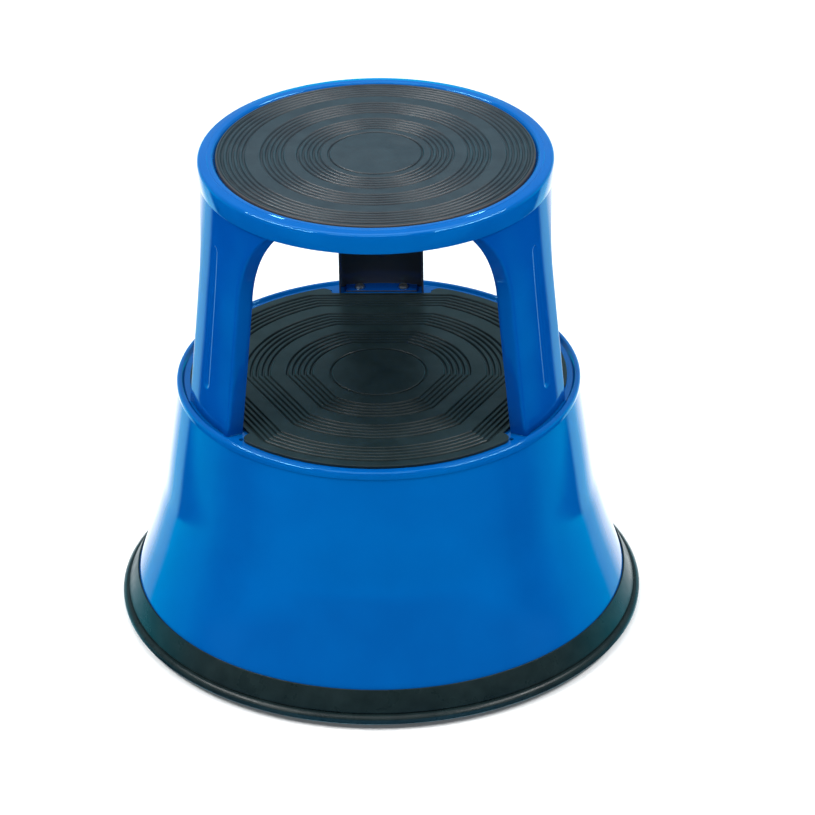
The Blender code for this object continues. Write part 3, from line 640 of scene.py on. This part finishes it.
def leg_half_section(z):
    radius = curve_through(LEG_OUTLINE, z)
    half_width = leg_half_width(z)
    face_end = (half_width - LEG_CORNER_RADIUS) / (1.0 - LEG_CORNER_RADIUS / radius)
    points = []
    columns = leg_columns()
    spare = face_end - TAB_HALF_WIDTH
    columns += [TAB_HALF_WIDTH + spare * share for share in (0.33, 0.67, 1.0)]
    for y in columns:
        points.append((sqrt(radius ** 2 - y ** 2) - emboss_depth(y, z), y))
    tilt = asin(face_end / radius)
    centre_x = points[-1][0] - LEG_CORNER_RADIUS * cos(tilt)
    centre_y = half_width - LEG_CORNER_RADIUS
    for step in range(1, 6):
        angle = tilt + (pi / 2.0 - tilt) * step / 5.0
        points.append((centre_x + LEG_CORNER_RADIUS * cos(angle),
                       centre_y + LEG_CORNER_RADIUS * sin(angle)))
    inner_x = points[-1][0] + LEG_CORNER_RADIUS - LEG_FLANGE_DEPTH
    for share in (0.35, 0.7, 1.0):
        points.append((centre_x + (inner_x - centre_x) * share, half_width))
    return points


def leg_row(z):
    half = leg_half_section(z)
    row = [(x, -y, z) for x, y in reversed(half[1:])]
    return row + [(x, y, z) for x, y in half]


def tab_rows(z, x_end, turn):
    """Rows of a tab bent inward at z: a quarter bend, then flat to x_end. turn is +1 or -1."""
    rows = []
    edge = leg_row(z + turn * BEND_RADIUS)
    for step in range(1, 5):
        angle = pi / 2.0 * step / 4.0
        drop = BEND_RADIUS * sin(angle)
        inset = BEND_RADIUS * (1.0 - cos(angle))
        rows.append([(x - inset, y, z + turn * (BEND_RADIUS - drop))
                     if abs(y) < TAB_HALF_WIDTH + GAP else None for x, y, _ in edge])
    flat = rows[-1]
    for share in (0.5, 1.0):
        rows.append([(p[0] + (x_end - p[0]) * share, p[1], z) if p else None for p in flat])
    return rows


def leg_heights(foot, head):
    low_end = [EMBOSS_LOW_Z + EMBOSS_HALF_WIDTH * i / 11 for i in range(-1, 12)]
    high_end = [EMBOSS_HIGH_Z - EMBOSS_HALF_WIDTH * i / 11 for i in range(11, -2, -1)]
    flare = [FLARE_START_Z + 0.0045 * i for i in range(0, 15)]
    straight = [foot + BEND_RADIUS, 0.225, 0.260, 0.280, 0.300, 0.318]
    heights = straight + low_end + high_end + flare + [CAP_LOW.z + 0.001, head - BEND_RADIUS]
    kept = []
    for z in sorted(heights):
        if not kept or z - kept[-1] > 0.0002:
            kept.append(z)
    return kept


def build_leg(name):
    foot = LEG_LOW.z
    head = LEG_HIGH.z
    foot_tab_x = 0.1470
    head_tab_x = 0.1160
    heights = leg_heights(foot, head)
    rows = list(reversed(tab_rows(foot, foot_tab_x, 1.0)))
    rows += [leg_row(z) for z in heights]
    rows += tab_rows(head, head_tab_x, -1.0)
    skin = bmesh.new()
    grid = [[skin.verts.new(point) if point else None for point in row] for row in rows]
    for lower, upper in zip(grid, grid[1:]):
        for column in range(len(lower) - 1):
            corners = (lower[column], lower[column + 1], upper[column + 1], upper[column])
            if None not in corners:
                skin.faces.new(corners)
    join_beside_tabs(skin, grid, rows, foot, head)
    bmesh.ops.remove_doubles(skin, verts=skin.verts, dist=0.00001)
    leg = mesh_object("channel_leg_" + name, skin, SHADED_LEG_ENAMEL)
    thicken(leg, SHEET)
    bevel_edges(leg, 0.00032, 50.0)
    places = [(FOOT_SCREW_X, FOOT_SCREW_Y), (FOOT_SCREW_X, -FOOT_SCREW_Y),
              (HEAD_RIVET_X, HEAD_RIVET_Y), (HEAD_RIVET_X, -HEAD_RIVET_Y)]
    round_holes(leg, places[:2], FOOT_SCREW_HOLE, foot - MARGIN, foot + MARGIN)
    round_holes(leg, places[2:], HEAD_RIVET_HOLE, head - MARGIN, head + MARGIN)
    place(leg, about_axis(leg_azimuth(name)))
    finish_piece(leg, "stool", "blue_enamel", "leg_" + name)


def join_beside_tabs(skin, grid, rows, foot, head):
    """Carry the face and flanges beside each tab down to the foot and up to the head."""
    first = next(i for i, row in enumerate(rows) if None not in row)
    last = len(rows) - 1 - next(i for i, row in enumerate(reversed(rows)) if None not in row)
    for index, z in ((first, foot), (last, head)):
        edge = grid[index]
        end = [skin.verts.new(point) for point in leg_row(z)]
        for column in range(len(edge) - 1):
            middle = (edge[column].co.y + edge[column + 1].co.y) / 2.0
            if abs(middle) > TAB_HALF_WIDTH:
                skin.faces.new((end[column], end[column + 1], edge[column + 1], edge[column]))
    loose = [vert for vert in skin.verts if not vert.link_faces]
    bmesh.ops.delete(skin, geom=loose, context="VERTS")


# Lower step

DRAIN_HOLE_X = 0.1495
DRAIN_HOLE_Y = 0.0450
DRAIN_HOLE_RADIUS = 0.0020


def build_step_plate():
    """Plate with a pressed gutter inside a rolled rim that hooks over the skirt."""
    plate_radius = 0.1632
    lip_inside = RIM_RADIUS - 0.0012
    roll = 0.0034
    crest = PLATE_HIGH.z
    lip_low = crest - 0.0066
    outer = [(0.0, PLATE_Z), (plate_radius - 0.0006, PLATE_Z)]
    outer += arc((plate_radius - 0.0006, PLATE_Z + 0.0014), 0.0014, -90.0, -40.0, 4)
    outer += arc((RIM_RADIUS - roll - 0.0002, crest - 0.0016), 0.0016, 140.0, 90.0, 4)
    outer += arc((RIM_RADIUS - roll, crest - roll), roll, 84.0, 0.0, 9)
    outer += [(RIM_RADIUS, PLATE_LOW.z + 0.0024), (RIM_RADIUS - 0.0003, lip_low)]
    inner = [(lip_inside, lip_low), (lip_inside, crest - roll),
             (RIM_RADIUS - roll, crest - 0.0013), (plate_radius + 0.0018, PLATE_Z - 0.0001),
             (plate_radius + 0.0004, PLATE_Z - SHEET), (0.0, PLATE_Z - SHEET)]
    plate = turned("lower_step_plate", outer + inner, ENAMEL, soften=0.0)
    for places, radius in ((leg_pairs(FOOT_SCREW_X, FOOT_SCREW_Y), FOOT_SCREW_HOLE),
                           (leg_pairs(DRAIN_HOLE_X, DRAIN_HOLE_Y), DRAIN_HOLE_RADIUS)):
        round_holes(plate, places, radius, PLATE_Z - DEEP_MARGIN, PLATE_Z + DEEP_MARGIN)
    finish_piece(plate, "stool", "blue_enamel", "step_plate")


NOTCH_HALF_WIDTH = 0.0430
NOTCH_X = 0.1405
NOTCH_CORNER = 0.0085


def notch_outline():
    """A leg's notch in the lower mat, widening through round corners to the mat's edge."""
    corner_y = NOTCH_HALF_WIDTH + NOTCH_CORNER
    corner_x = sqrt((LOWER_MAT_RADIUS - NOTCH_CORNER) ** 2 - corner_y ** 2)
    edge_angle = degrees(atan2(corner_y, corner_x))
    beyond = LOWER_MAT_RADIUS + 0.010
    side = [(NOTCH_X, NOTCH_HALF_WIDTH)]
    side += arc((corner_x, corner_y), NOTCH_CORNER, -90.0, edge_angle, 8)
    side += [(beyond * cos(radians(edge_angle)), beyond * sin(radians(edge_angle)))]
    side += [(beyond + 0.01, 0.0)]
    return side + [(x, -y) for x, y in reversed(side[:-1])]


def build_lower_mat():
    top = LOWER_MAT_HIGH.z
    edge = LOWER_MAT_RADIUS
    groups = ((0.0566, 0.00495, 5), (0.0920, 0.0050, 5), (0.1287, 0.00495, 5))
    rim = [(0.1500, top), (0.1530, top), (edge - 0.0008, top), (edge - 0.0002, top - 0.0003),
           (edge, top - 0.0009)]
    profile = ribbed_profile(groups, 0.0400, top, LOWER_MAT_LOW.z, rim)
    warp = rib_warp(0.0420, 0.0535, (0.1500, 0.1530))
    mat = turned("lower_step_mat", profile, LOWER_RUBBER, soften=0.0, warp=warp)
    bm = bmesh.new()
    for name in LEG_NAMES:
        turn = Matrix.Rotation(leg_azimuth(name), 2)
        prism(bm, [turn @ Vector(point) for point in notch_outline()],
              LOWER_MAT_LOW.z - DEEP_MARGIN, top + DEEP_MARGIN)
    cut(mat, bm, MAT_SHARP_ANGLE)
    finish_piece(mat, "stool", "mat_rubber", "lower_mat")


# Base

def build_base_skirt():
    """Conical shell: a nearly straight upper part, a soft crease and a flare below it."""
    bend_z = 0.108
    bend_radius = 0.1832
    edge_z = 0.0305
    edge_radius = 0.2080
    outline = [(SKIRT_LOW.z, SKIRT_HIGH.y), (edge_z, edge_radius), (0.068, 0.1951),
               (bend_z - 0.007, bend_radius + 0.0023), (bend_z + 0.007, bend_radius - 0.0010),
               (0.150, 0.1772), (0.180, 0.1728), (SKIRT_HIGH.z, 0.1680)]
    heights = [SKIRT_HIGH.z + (SKIRT_LOW.z - SKIRT_HIGH.z) * i / 44 for i in range(45)]
    outer = [(curve_through(outline, z), z) for z in heights]
    inner = [(radius - 0.0013, z) for radius, z in reversed(outer)]
    skirt = turned("conical_skirt", outer + inner, ENAMEL, soften=0.0)
    finish_piece(skirt, "stool", "blue_enamel", "base_skirt")


def build_bumper():
    """Vinyl ring: a thin lip on the skirt, a sloping band, a groove and a ribbed bead."""
    bottom = BUMPER_LOW.z
    bead_radius = 0.0042
    lip_z = BUMPER_HIGH.z
    bead_x = BUMPER_HIGH.y - bead_radius
    outer = [(0.2081, lip_z - 0.0002), (0.2092, lip_z - 0.0002)]
    outer += [(0.2172, 0.0141), (0.2168, 0.0134), (0.2162, 0.0130)]
    outer += [(bead_x - 0.0010, bottom + 2.0 * bead_radius - 0.0002)]
    bead = arc((bead_x, bottom + bead_radius), bead_radius, 92.0, -90.0, 16)
    ribs = []
    for i, (x, z) in enumerate(bead):
        lift = 0.00018 if i % 4 == 2 else 0.0
        out = Vector((x - bead_x, z - bottom - bead_radius)).normalized() * lift
        ribs.append((x - 0.0002 + out.x, z + out.y))
    inner_top = 0.0240
    inner_radius = 0.2084
    inside = [(0.2092, bottom), (inner_radius - 0.0004, bottom + 0.0006),
              (inner_radius - 0.0022, inner_top), (inner_radius, inner_top),
              (0.2113, 0.0147), (0.2134, 0.0147), (0.2085, 0.0305)]
    profile = outer + ribs + inside
    bumper = turned("bumper_ring_detail", profile, BUMPER_VINYL, soften=0.00025)
    finish_piece(bumper, "stool", "bumper_vinyl", "bumper_ring")


# Fasteners

def threaded(radius, top, bottom, pitch=0.0008):
    """Profile down a thread, shown as rings."""
    root = radius - 0.0004
    points = []
    turns = int((top - bottom) / pitch)
    for i in range(turns):
        z = top - pitch * i
        points += [(root, z), (radius, z - pitch / 2.0)]
    return points + [(root, bottom + 0.0002), (radius - 0.0009, bottom)]


def build_foot_screw(label, azimuth, side):
    low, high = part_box("foot_screw_" + label)
    seat = LEG_LOW.z + SHEET + GAP
    head_radius = 0.0043
    profile = [(0.0, high.z)] + arc((0.0, high.z - 0.0082), 0.0082, 84.0, 62.0, 5)
    profile += [(head_radius, seat + 0.0008), (head_radius, seat + 0.0001), (0.0024, seat)]
    profile += threaded(0.0024, seat - 0.0006, low.z) + [(0.0, low.z)]
    screw = turned("pan_screw_" + label, profile, ZINC, SMALL_STEPS, soften=0.0)
    cross_reach = 0.0021
    cross_half = 0.00045
    cross_depth = 0.0013
    arm = [(cross_reach, -cross_half), (cross_reach, cross_half), (cross_half, cross_half)]
    cross = [Matrix.Rotation(0.35 + pi / 2.0 * quarter, 2) @ Vector(corner)
             for quarter in range(4) for corner in arm]
    bm = bmesh.new()
    prism(bm, cross, high.z - cross_depth, high.z + cross_depth)
    cut(screw, bm)
    place(screw, about_axis(azimuth) @ Matrix.Translation((FOOT_SCREW_X, side * FOOT_SCREW_Y, 0.0)))
    finish_piece(screw, "stool", "plated_steel", "foot_screw_" + label)


def build_foot_nut(label, azimuth, side):
    low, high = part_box("foot_nut_" + label)
    flat = 0.0080
    bm = bmesh.new()
    corner_radius = flat / 2.0 / cos(pi / 6.0)
    outline = [(corner_radius * cos(pi / 3.0 * i), corner_radius * sin(pi / 3.0 * i))
               for i in range(6)]
    prism(bm, outline, low.z, high.z)
    nut = mesh_object("hex_nut_" + label, bm, ZINC)
    bevel_edges(nut, 0.00035)
    round_holes(nut, [(0.0, 0.0)], 0.0026, low.z - 0.002, high.z + 0.002)
    place(nut, about_axis(azimuth) @ Matrix.Translation((FOOT_SCREW_X, side * FOOT_SCREW_Y, 0.0)))
    finish_piece(nut, "stool", "plated_steel", "foot_nut_" + label)


def build_head_rivet(label, azimuth, side):
    low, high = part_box("head_rivet_" + label)
    seat = TOP_MAT_LOW.z
    tail = CAP_FLOOR_Z - 2.0 * SHEET - 2.0 * GAP
    profile = [(0.0, high.z), (0.0026, high.z), (0.0040, seat + 0.0001), (0.0022, seat),
               (0.0022, tail), (0.0036, tail), (0.0030, tail - 0.0008), (0.0, low.z)]
    rivet = turned("tab_rivet_" + label, profile, ZINC, FINE_STEPS, soften=0.0003)
    place(rivet, about_axis(azimuth) @ Matrix.Translation((HEAD_RIVET_X, side * HEAD_RIVET_Y, 0.0)))
    finish_piece(rivet, "stool", "plated_steel", "head_rivet_" + label)


def build_fasteners():
    for name in LEG_NAMES:
        for label, side in ((name + "_a", -1.0), (name + "_b", 1.0)):
            build_foot_screw(label, leg_azimuth(name), side)
            build_foot_nut(label, leg_azimuth(name), side)
            build_head_rivet(label, leg_azimuth(name), side)


# Castors

HOUSING_RADIUS = 0.0145
HOUSING_FLANGE_RADIUS = 0.0350
KINGPIN_RADIUS = 0.0045
AXLE_RADIUS = 0.0030
FORK_SHEET = 0.0020


def castor_place(name):
    """From a castor's own frame, on its swivel axis at floor level, to the stool's frame."""
    axis = swivel_axis(name)
    return Matrix.Translation((axis.x, axis.y, 0.0)) @ about_axis(leg_azimuth(name))


def axle_place(name):
    return (castor_place(name) @ Matrix.Translation((-WHEEL_TRAIL, 0.0, WHEEL_RADIUS))
            @ Matrix.Rotation(pi / 2.0, 4, "X"))


def build_housing(name):
    """Drawn cup with a wide welding flange, two stiffening beads and a rolled lower lip."""
    top = HOUSING_HIGH.z
    low = HOUSING_LOW.z
    bore = HOUSING_RADIUS - SHEET
    lip = 0.0097
    profile = [(0.0, top), (HOUSING_FLANGE_RADIUS, top), (HOUSING_FLANGE_RADIUS, top - SHEET),
               (HOUSING_RADIUS + 0.0030, top - SHEET), (HOUSING_RADIUS, top - SHEET - 0.0030)]
    for bead_z in (0.178, 0.080):
        profile += [(HOUSING_RADIUS, bead_z + 0.0022), (HOUSING_RADIUS + 0.0008, bead_z),
                    (HOUSING_RADIUS, bead_z - 0.0022)]
    profile += [(HOUSING_RADIUS, low + 0.0022), (HOUSING_RADIUS - 0.0022, low), (lip, low),
                (lip, low + SHEET), (bore, low + SHEET), (bore, top - SHEET),
                (0.0, top - SHEET)]
    housing = turned("castor_cup_" + name, profile, ZINC, CASTOR_STEPS, soften=0.0006)
    places = [(FOOT_SCREW_X - CASTOR_RADIUS, side * FOOT_SCREW_Y) for side in (-1.0, 1.0)]
    round_holes(housing, places, FOOT_SCREW_HOLE, top - DEEP_MARGIN, top + DEEP_MARGIN)
    place(housing, castor_place(name))
    finish_piece(housing, "stool", "plated_steel", "castor_housing_" + name)


def build_plunger(name):
    outer = HOUSING_RADIUS - SHEET - GAP
    shoulder = HOUSING_LOW.z + SHEET + GAP
    neck = 0.0093
    low = PLUNGER_LOW.z
    high = PLUNGER_HIGH.z
    bore_top = 0.0640
    profile = [(outer, high), (outer, shoulder), (neck, shoulder), (neck, low),
               (KINGPIN_RADIUS + GAP, low), (KINGPIN_RADIUS + GAP, bore_top),
               (0.0082, bore_top), (0.0082, high)]
    plunger = turned("plunger_sleeve_" + name, profile, NYLON, CASTOR_STEPS, soften=0.0006)
    place(plunger, castor_place(name))
    finish_piece(plunger, "plunger_" + name, "nylon", "plunger_" + name)


def build_spring(name):
    """Coil with closed end turns, built at one length; on the real castor it shortens as the
    plunger rises into the housing.
    """
    wire = 0.0011
    coil_radius = 0.0103
    turns = 7
    points_per_turn = 28
    sides = 10
    bottom = SPRING_LOW.z + wire
    top = SPRING_HIGH.z - wire
    closed = 2.4 * wire
    bm = bmesh.new()
    rings = []
    for i in range(turns * points_per_turn + 1):
        turn = i / points_per_turn
        if turn < 1.0:
            height = closed * turn
        elif turn > turns - 1.0:
            height = top - bottom - closed * (turns - turn)
        else:
            height = closed + (top - bottom - 2.0 * closed) * (turn - 1.0) / (turns - 2.0)
        angle = 2.0 * pi * turn
        outward = Vector((cos(angle), sin(angle), 0.0))
        centre = outward * coil_radius + Vector((0.0, 0.0, bottom + height))
        ring = []
        for side in range(sides):
            around = 2.0 * pi * side / sides
            ring.append(bm.verts.new(centre + outward * (wire * cos(around))
                                     + Vector((0.0, 0.0, wire * sin(around)))))
        rings.append(ring)
    for first, second in zip(rings, rings[1:]):
        for side in range(sides):
            other = (side + 1) % sides
            bm.faces.new((first[side], second[side], second[other], first[other]))
    bm.faces.new(rings[0])
    bm.faces.new(list(reversed(rings[-1])))
    spring = mesh_object("coil_spring_" + name, bm, SPRING_STEEL)
    place(spring, castor_place(name))
    finish_piece(spring, "stool", "spring_steel", "spring_" + name)
    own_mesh(spring)


def build_washer(name):
    low, high = WASHER_LOW.z, WASHER_HIGH.z
    bore = KINGPIN_RADIUS + GAP
    profile = [(0.0110, high), (0.0110, low), (bore, low), (bore, high)]
    washer = turned("washer_" + name, profile, ZINC, CASTOR_STEPS, soften=0.0002)
    place(washer, castor_place(name))
    finish_piece(washer, "plunger_" + name, "plated_steel", "thrust_washer_" + name)


def build_kingpin(name):
    high = KINGPIN_HIGH.z
    low = KINGPIN_LOW.z
    groove_low = CLIP_LOW.z - GAP
    groove_high = CLIP_HIGH.z + GAP
    head_top = low + 0.0014
    radius = KINGPIN_RADIUS
    profile = [(0.0, high), (radius - 0.0008, high), (radius, high - 0.0008),
               (radius, groove_high), (0.0035, groove_high), (0.0035, groove_low),
               (radius, groove_low), (radius, head_top), (0.0070, head_top), (0.0058, low),
               (0.0, low)]
    pin = turned("swivel_pin_" + name, profile, ZINC, SMALL_STEPS, soften=0.0003)
    place(pin, castor_place(name))
    finish_piece(pin, "fork_" + name, "plated_steel", "kingpin_" + name)


def build_clip(name):
    """Open retaining clip: a flat ring with a gap at its mouth."""
    mouth = 40.0        # degrees to each side
    radius = (CLIP_HIGH.x - CLIP_LOW.x) / 2.0
    outline = arc((0.0, 0.0), radius, mouth, 360.0 - mouth, 30)
    outline += arc((0.0, 0.0), 0.0038, 360.0 - mouth, mouth, 30)
    bm = bmesh.new()
    prism(bm, outline, CLIP_LOW.z, CLIP_HIGH.z)
    clip = mesh_object("snap_clip_" + name, bm, SPRING_STEEL)
    bevel_edges(clip, 0.00012)
    place(clip, castor_place(name))
    finish_piece(clip, "fork_" + name, "spring_steel", "retaining_clip_" + name)


def build_fork(name):
    """Pressed fork: the crown bends down into two legs raked back to round axle eyes."""
    crown_z = FORK_HIGH.z
    half = 0.0104
    bend = 0.0030
    reach = 0.0120
    eye = 0.0064
    path = []
    for share in (0.0, 0.25, 0.5, 0.75, 1.0):
        path.append(((half - bend) * share, crown_z, 0.0, reach))
    for step in range(1, 6):
        angle = pi / 2.0 * step / 5.0
        path.append((half - bend + bend * sin(angle), crown_z - bend + bend * cos(angle), 0.0,
                     reach))
    for share in (0.2, 0.4, 0.6, 0.8, 1.0):
        lean = smoothstep(share, 0.0, 1.0)
        z = crown_z - bend + (WHEEL_RADIUS + 0.001 - crown_z + bend) * share
        path.append((half, z, -WHEEL_TRAIL * lean, reach + (eye - reach) * lean))
    for step in range(1, 7):
        angle = pi / 2.0 * step / 6.0
        path.append((half, WHEEL_RADIUS - (eye - 0.0002) * sin(angle), -WHEEL_TRAIL,
                     max(eye * cos(angle), 0.0006)))
    whole = [(-y, z, middle, side) for y, z, middle, side in reversed(path[1:])] + path
    bm = bmesh.new()
    shares = (1.0, 0.5, 0.0, -0.5, -1.0)
    grid = [[bm.verts.new((middle + share * side, y, z)) for y, z, middle, side in whole]
            for share in shares]
    for lower, upper in zip(grid, grid[1:]):
        for column in range(len(lower) - 1):
            bm.faces.new((lower[column], lower[column + 1], upper[column + 1], upper[column]))
    fork = mesh_object("castor_fork_" + name, bm, ZINC)
    thicken(fork, FORK_SHEET)
    bevel_edges(fork, 0.0003, 50.0)
    round_holes(fork, [(0.0, 0.0)], KINGPIN_RADIUS + GAP, crown_z - 0.006, crown_z + 0.004)
    bm = bmesh.new()
    across = (Matrix.Translation((-WHEEL_TRAIL, 0.0, WHEEL_RADIUS))
              @ Matrix.Rotation(pi / 2.0, 4, "X"))
    bmesh.ops.create_cone(bm, cap_ends=True, segments=HOLE_STEPS, radius1=AXLE_RADIUS + GAP,
                          radius2=AXLE_RADIUS + GAP, depth=0.05, matrix=across)
    cut(fork, bm)
    place(fork, castor_place(name))
    finish_piece(fork, "fork_" + name, "plated_steel", "fork_" + name)


def build_axle(name):
    half = 0.0107
    profile = [(0.0, half + 0.0014), (0.0038, half + 0.0014), (0.0052, half + 0.0003),
               (0.0052, half), (AXLE_RADIUS, half), (AXLE_RADIUS, -half), (0.0046, -half),
               (0.0040, -half - 0.0012), (0.0, -half - 0.0012)]
    axle = turned("wheel_axle_" + name, profile, ZINC, FINE_STEPS, soften=0.0003)
    place(axle, axle_place(name))
    finish_piece(axle, "fork_" + name, "plated_steel", "axle_" + name)


def build_wheel(name):
    """Moulded hub with dished sides and a soft tyre, which turn together."""
    half = 0.0075
    boss = 0.0081
    bore = AXLE_RADIUS + GAP
    hub_radius = 0.0132
    profile = [(bore, boss), (0.0056, boss), (0.0062, half - 0.0028),
               (hub_radius - 0.0022, half - 0.0028), (hub_radius - 0.0012, half - 0.0006),
               (hub_radius, half - 0.0008), (hub_radius, -half + 0.0008),
               (hub_radius - 0.0012, -half + 0.0006), (hub_radius - 0.0022, -half + 0.0028),
               (0.0062, -half + 0.0028), (0.0056, -boss), (bore, -boss)]
    hub = turned("hub_" + name, profile, NYLON, SMALL_STEPS, soften=0.0004)
    place(hub, axle_place(name))
    finish_piece(hub, "wheel_" + name, "nylon", "wheel_hub_" + name)
    inside = hub_radius + GAP
    radius = WHEEL_RADIUS
    profile = [(inside, half - 0.0008), (radius - 0.0042, half), (radius - 0.0014, half - 0.0010),
               (radius - 0.0001, half - 0.0034), (radius, 0.0012), (radius - 0.0005, 0.0006),
               (radius - 0.0005, -0.0006), (radius, -0.0012), (radius - 0.0001, -half + 0.0034),
               (radius - 0.0014, -half + 0.0010), (radius - 0.0042, -half),
               (inside, -half + 0.0008)]
    tyre = turned("soft_tyre_" + name, profile, TYRE_RUBBER, TYRE_STEPS, soften=0.0008)
    place(tyre, axle_place(name))
    finish_piece(tyre, "wheel_" + name, "tyre_rubber", "tyre_" + name)


def build_castors():
    for name in LEG_NAMES:
        for build in (build_housing, build_plunger, build_spring, build_washer, build_kingpin,
                      build_clip, build_fork, build_axle, build_wheel):
            build(name)


# Studio

FLOOR_RADIUS = 25.0
STOOL_MIDDLE = Vector((0.0, 0.0, 0.2))


def build_floor():
    material, tree, shader = node_material("floor_white", 0.6)
    shader.inputs["Emission Color"].default_value = (1.0, 1.0, 1.0, 1.0)
    shader.inputs["Emission Strength"].default_value = 0.08
    colour = between(tree, noise(tree, 3.0, 3.0), (0.90, 0.90, 0.90), (0.94, 0.94, 0.94))
    tree.links.new(colour, shader.inputs["Base Color"])
    bm = bmesh.new()
    bmesh.ops.create_circle(bm, cap_ends=True, segments=96, radius=FLOOR_RADIUS)
    floor = mesh_object("floor", bm, material)
    floor.visible_glossy = False


def area_light(name, azimuth, elevation, distance, width, height, power):
    """Soft box that faces the middle of the stool from an azimuth and an elevation."""
    data = bpy.data.lights.new(name, "AREA")
    data.shape = "RECTANGLE"
    data.size = width
    data.size_y = height
    data.energy = power
    light = bpy.data.objects.new(name, data)
    bpy.context.scene.collection.objects.link(light)
    toward = Vector((cos(radians(azimuth)) * cos(radians(elevation)),
                     sin(radians(azimuth)) * cos(radians(elevation)), sin(radians(elevation))))
    light.location = STOOL_MIDDLE + toward * distance
    light.rotation_euler = toward.to_track_quat("Z", "Y").to_euler()


DARK_CARD = (0.0, 0.1, 0.3)
FRONT_CARD = (0.0, 7.0, 14.0)
AZURE_CARD = (0.0, 2.2, 3.0)
PALE_CARD = (0.80, 2.3, 2.9)
WHITE_CARD = (3.0, 3.3, 3.4)
SURROUND = (0.62, 0.87, 1.0)
# Cards that start and end at a direction's Y: colour, share at the start and end, start, end
CARD_PLACES = ((FRONT_CARD, 1.0, 0.0, -0.6, -0.3), (PALE_CARD, 0.0, 1.0, 0.58, 0.63),
               (WHITE_CARD, 0.0, 1.0, 0.73, 0.82))
# Name, azimuth and elevation in degrees, distance, width and height in metres, watts
SOFT_BOXES = (("left_box", 198.0, 48.0, 2.4, 1.9, 0.14, 52.0),
              ("right_box", -18.0, 48.0, 2.4, 1.9, 0.14, 46.0),
              ("top_box", 100.0, 82.0, 2.2, 2.0, 2.0, 26.0),
              ("front_box", -95.0, 58.0, 3.0, 2.0, 0.8, 18.0))


def build_lights():
    """Pale surround, a large box overhead, a broad one in front and a strip at each side.

    The floor doesn't show in glossy paint. Coloured cards under the horizon take its place:
    a bright one towards the camera, azure ones at the sides that darken further down, and a
    pale and a white one behind the stool.
    """
    world = bpy.data.worlds.new("studio")
    bpy.context.scene.world = world
    world.use_nodes = True
    tree = world.node_tree
    background = tree.nodes["Background"]
    coordinates = tree.nodes.new("ShaderNodeTexCoord")
    direction = tree.nodes.new("ShaderNodeSeparateXYZ")
    tree.links.new(coordinates.outputs["Generated"], direction.inputs["Vector"])
    strength = spread(tree, direction.outputs["Y"], 0.12, 0.56, -0.5, 0.8)
    tree.links.new(strength, background.inputs["Strength"])
    height = spread(tree, direction.outputs["Z"], 0.0, 1.0, -0.385, -0.36)
    sideways = spread(tree, direction.outputs["Y"], 0.0, 1.0, -0.1, 0.15)
    card = blend(tree, product(tree, height, sideways), DARK_CARD, AZURE_CARD)
    for colour, low, high, start, end in CARD_PLACES:
        share = spread(tree, direction.outputs["Y"], low, high, start, end)
        card = blend(tree, share, card, colour)
    above = spread(tree, direction.outputs["Z"], 0.0, 1.0, -0.08, -0.02)
    surround = blend(tree, above, card, SURROUND)
    band = product(tree, above, spread(tree, direction.outputs["Z"], 1.0, 0.0, 0.10, 0.20))
    surround = blend(tree, product(tree, band, sideways), surround, AZURE_CARD)
    tree.links.new(surround, background.inputs["Color"])
    for box in SOFT_BOXES:
        area_light(*box)


def build_camera():
    """Camera in front of the stool, looking down on it through a long lens."""
    distance = 3.3346       # metres, and the angles in radians
    height = 2.0662
    pitch = 0.5149
    yaw = 0.0072
    roll = -0.0105
    around = radians(1.38)
    forward = Vector((sin(yaw) * cos(pitch), cos(yaw) * cos(pitch), -sin(pitch)))
    right = Vector((cos(yaw), -sin(yaw), 0.0))
    up = right.cross(forward)
    side = right * cos(roll) + up * sin(roll)
    over = up * cos(roll) - right * sin(roll)
    axes = Matrix((side, over, -forward)).transposed().to_4x4()
    data = bpy.data.cameras.new("camera")
    data.sensor_width = 36.0
    data.lens = 200.25
    data.clip_end = 50.0
    camera = bpy.data.objects.new("camera", data)
    bpy.context.scene.collection.objects.link(camera)
    camera.matrix_world = (Matrix.Rotation(around, 4, "Z")
                           @ Matrix.Translation((0.0, -distance, height)) @ axes)
    bpy.context.scene.camera = camera


def build_settings():
    bpy.context.scene.view_settings.view_transform = "Standard"


build_top_cap()
build_top_mat()
for leg_name in LEG_NAMES:
    build_leg(leg_name)
build_step_plate()
build_lower_mat()
build_base_skirt()
build_bumper()
build_fasteners()
build_castors()
build_floor()
build_lights()
build_camera()
build_settings()
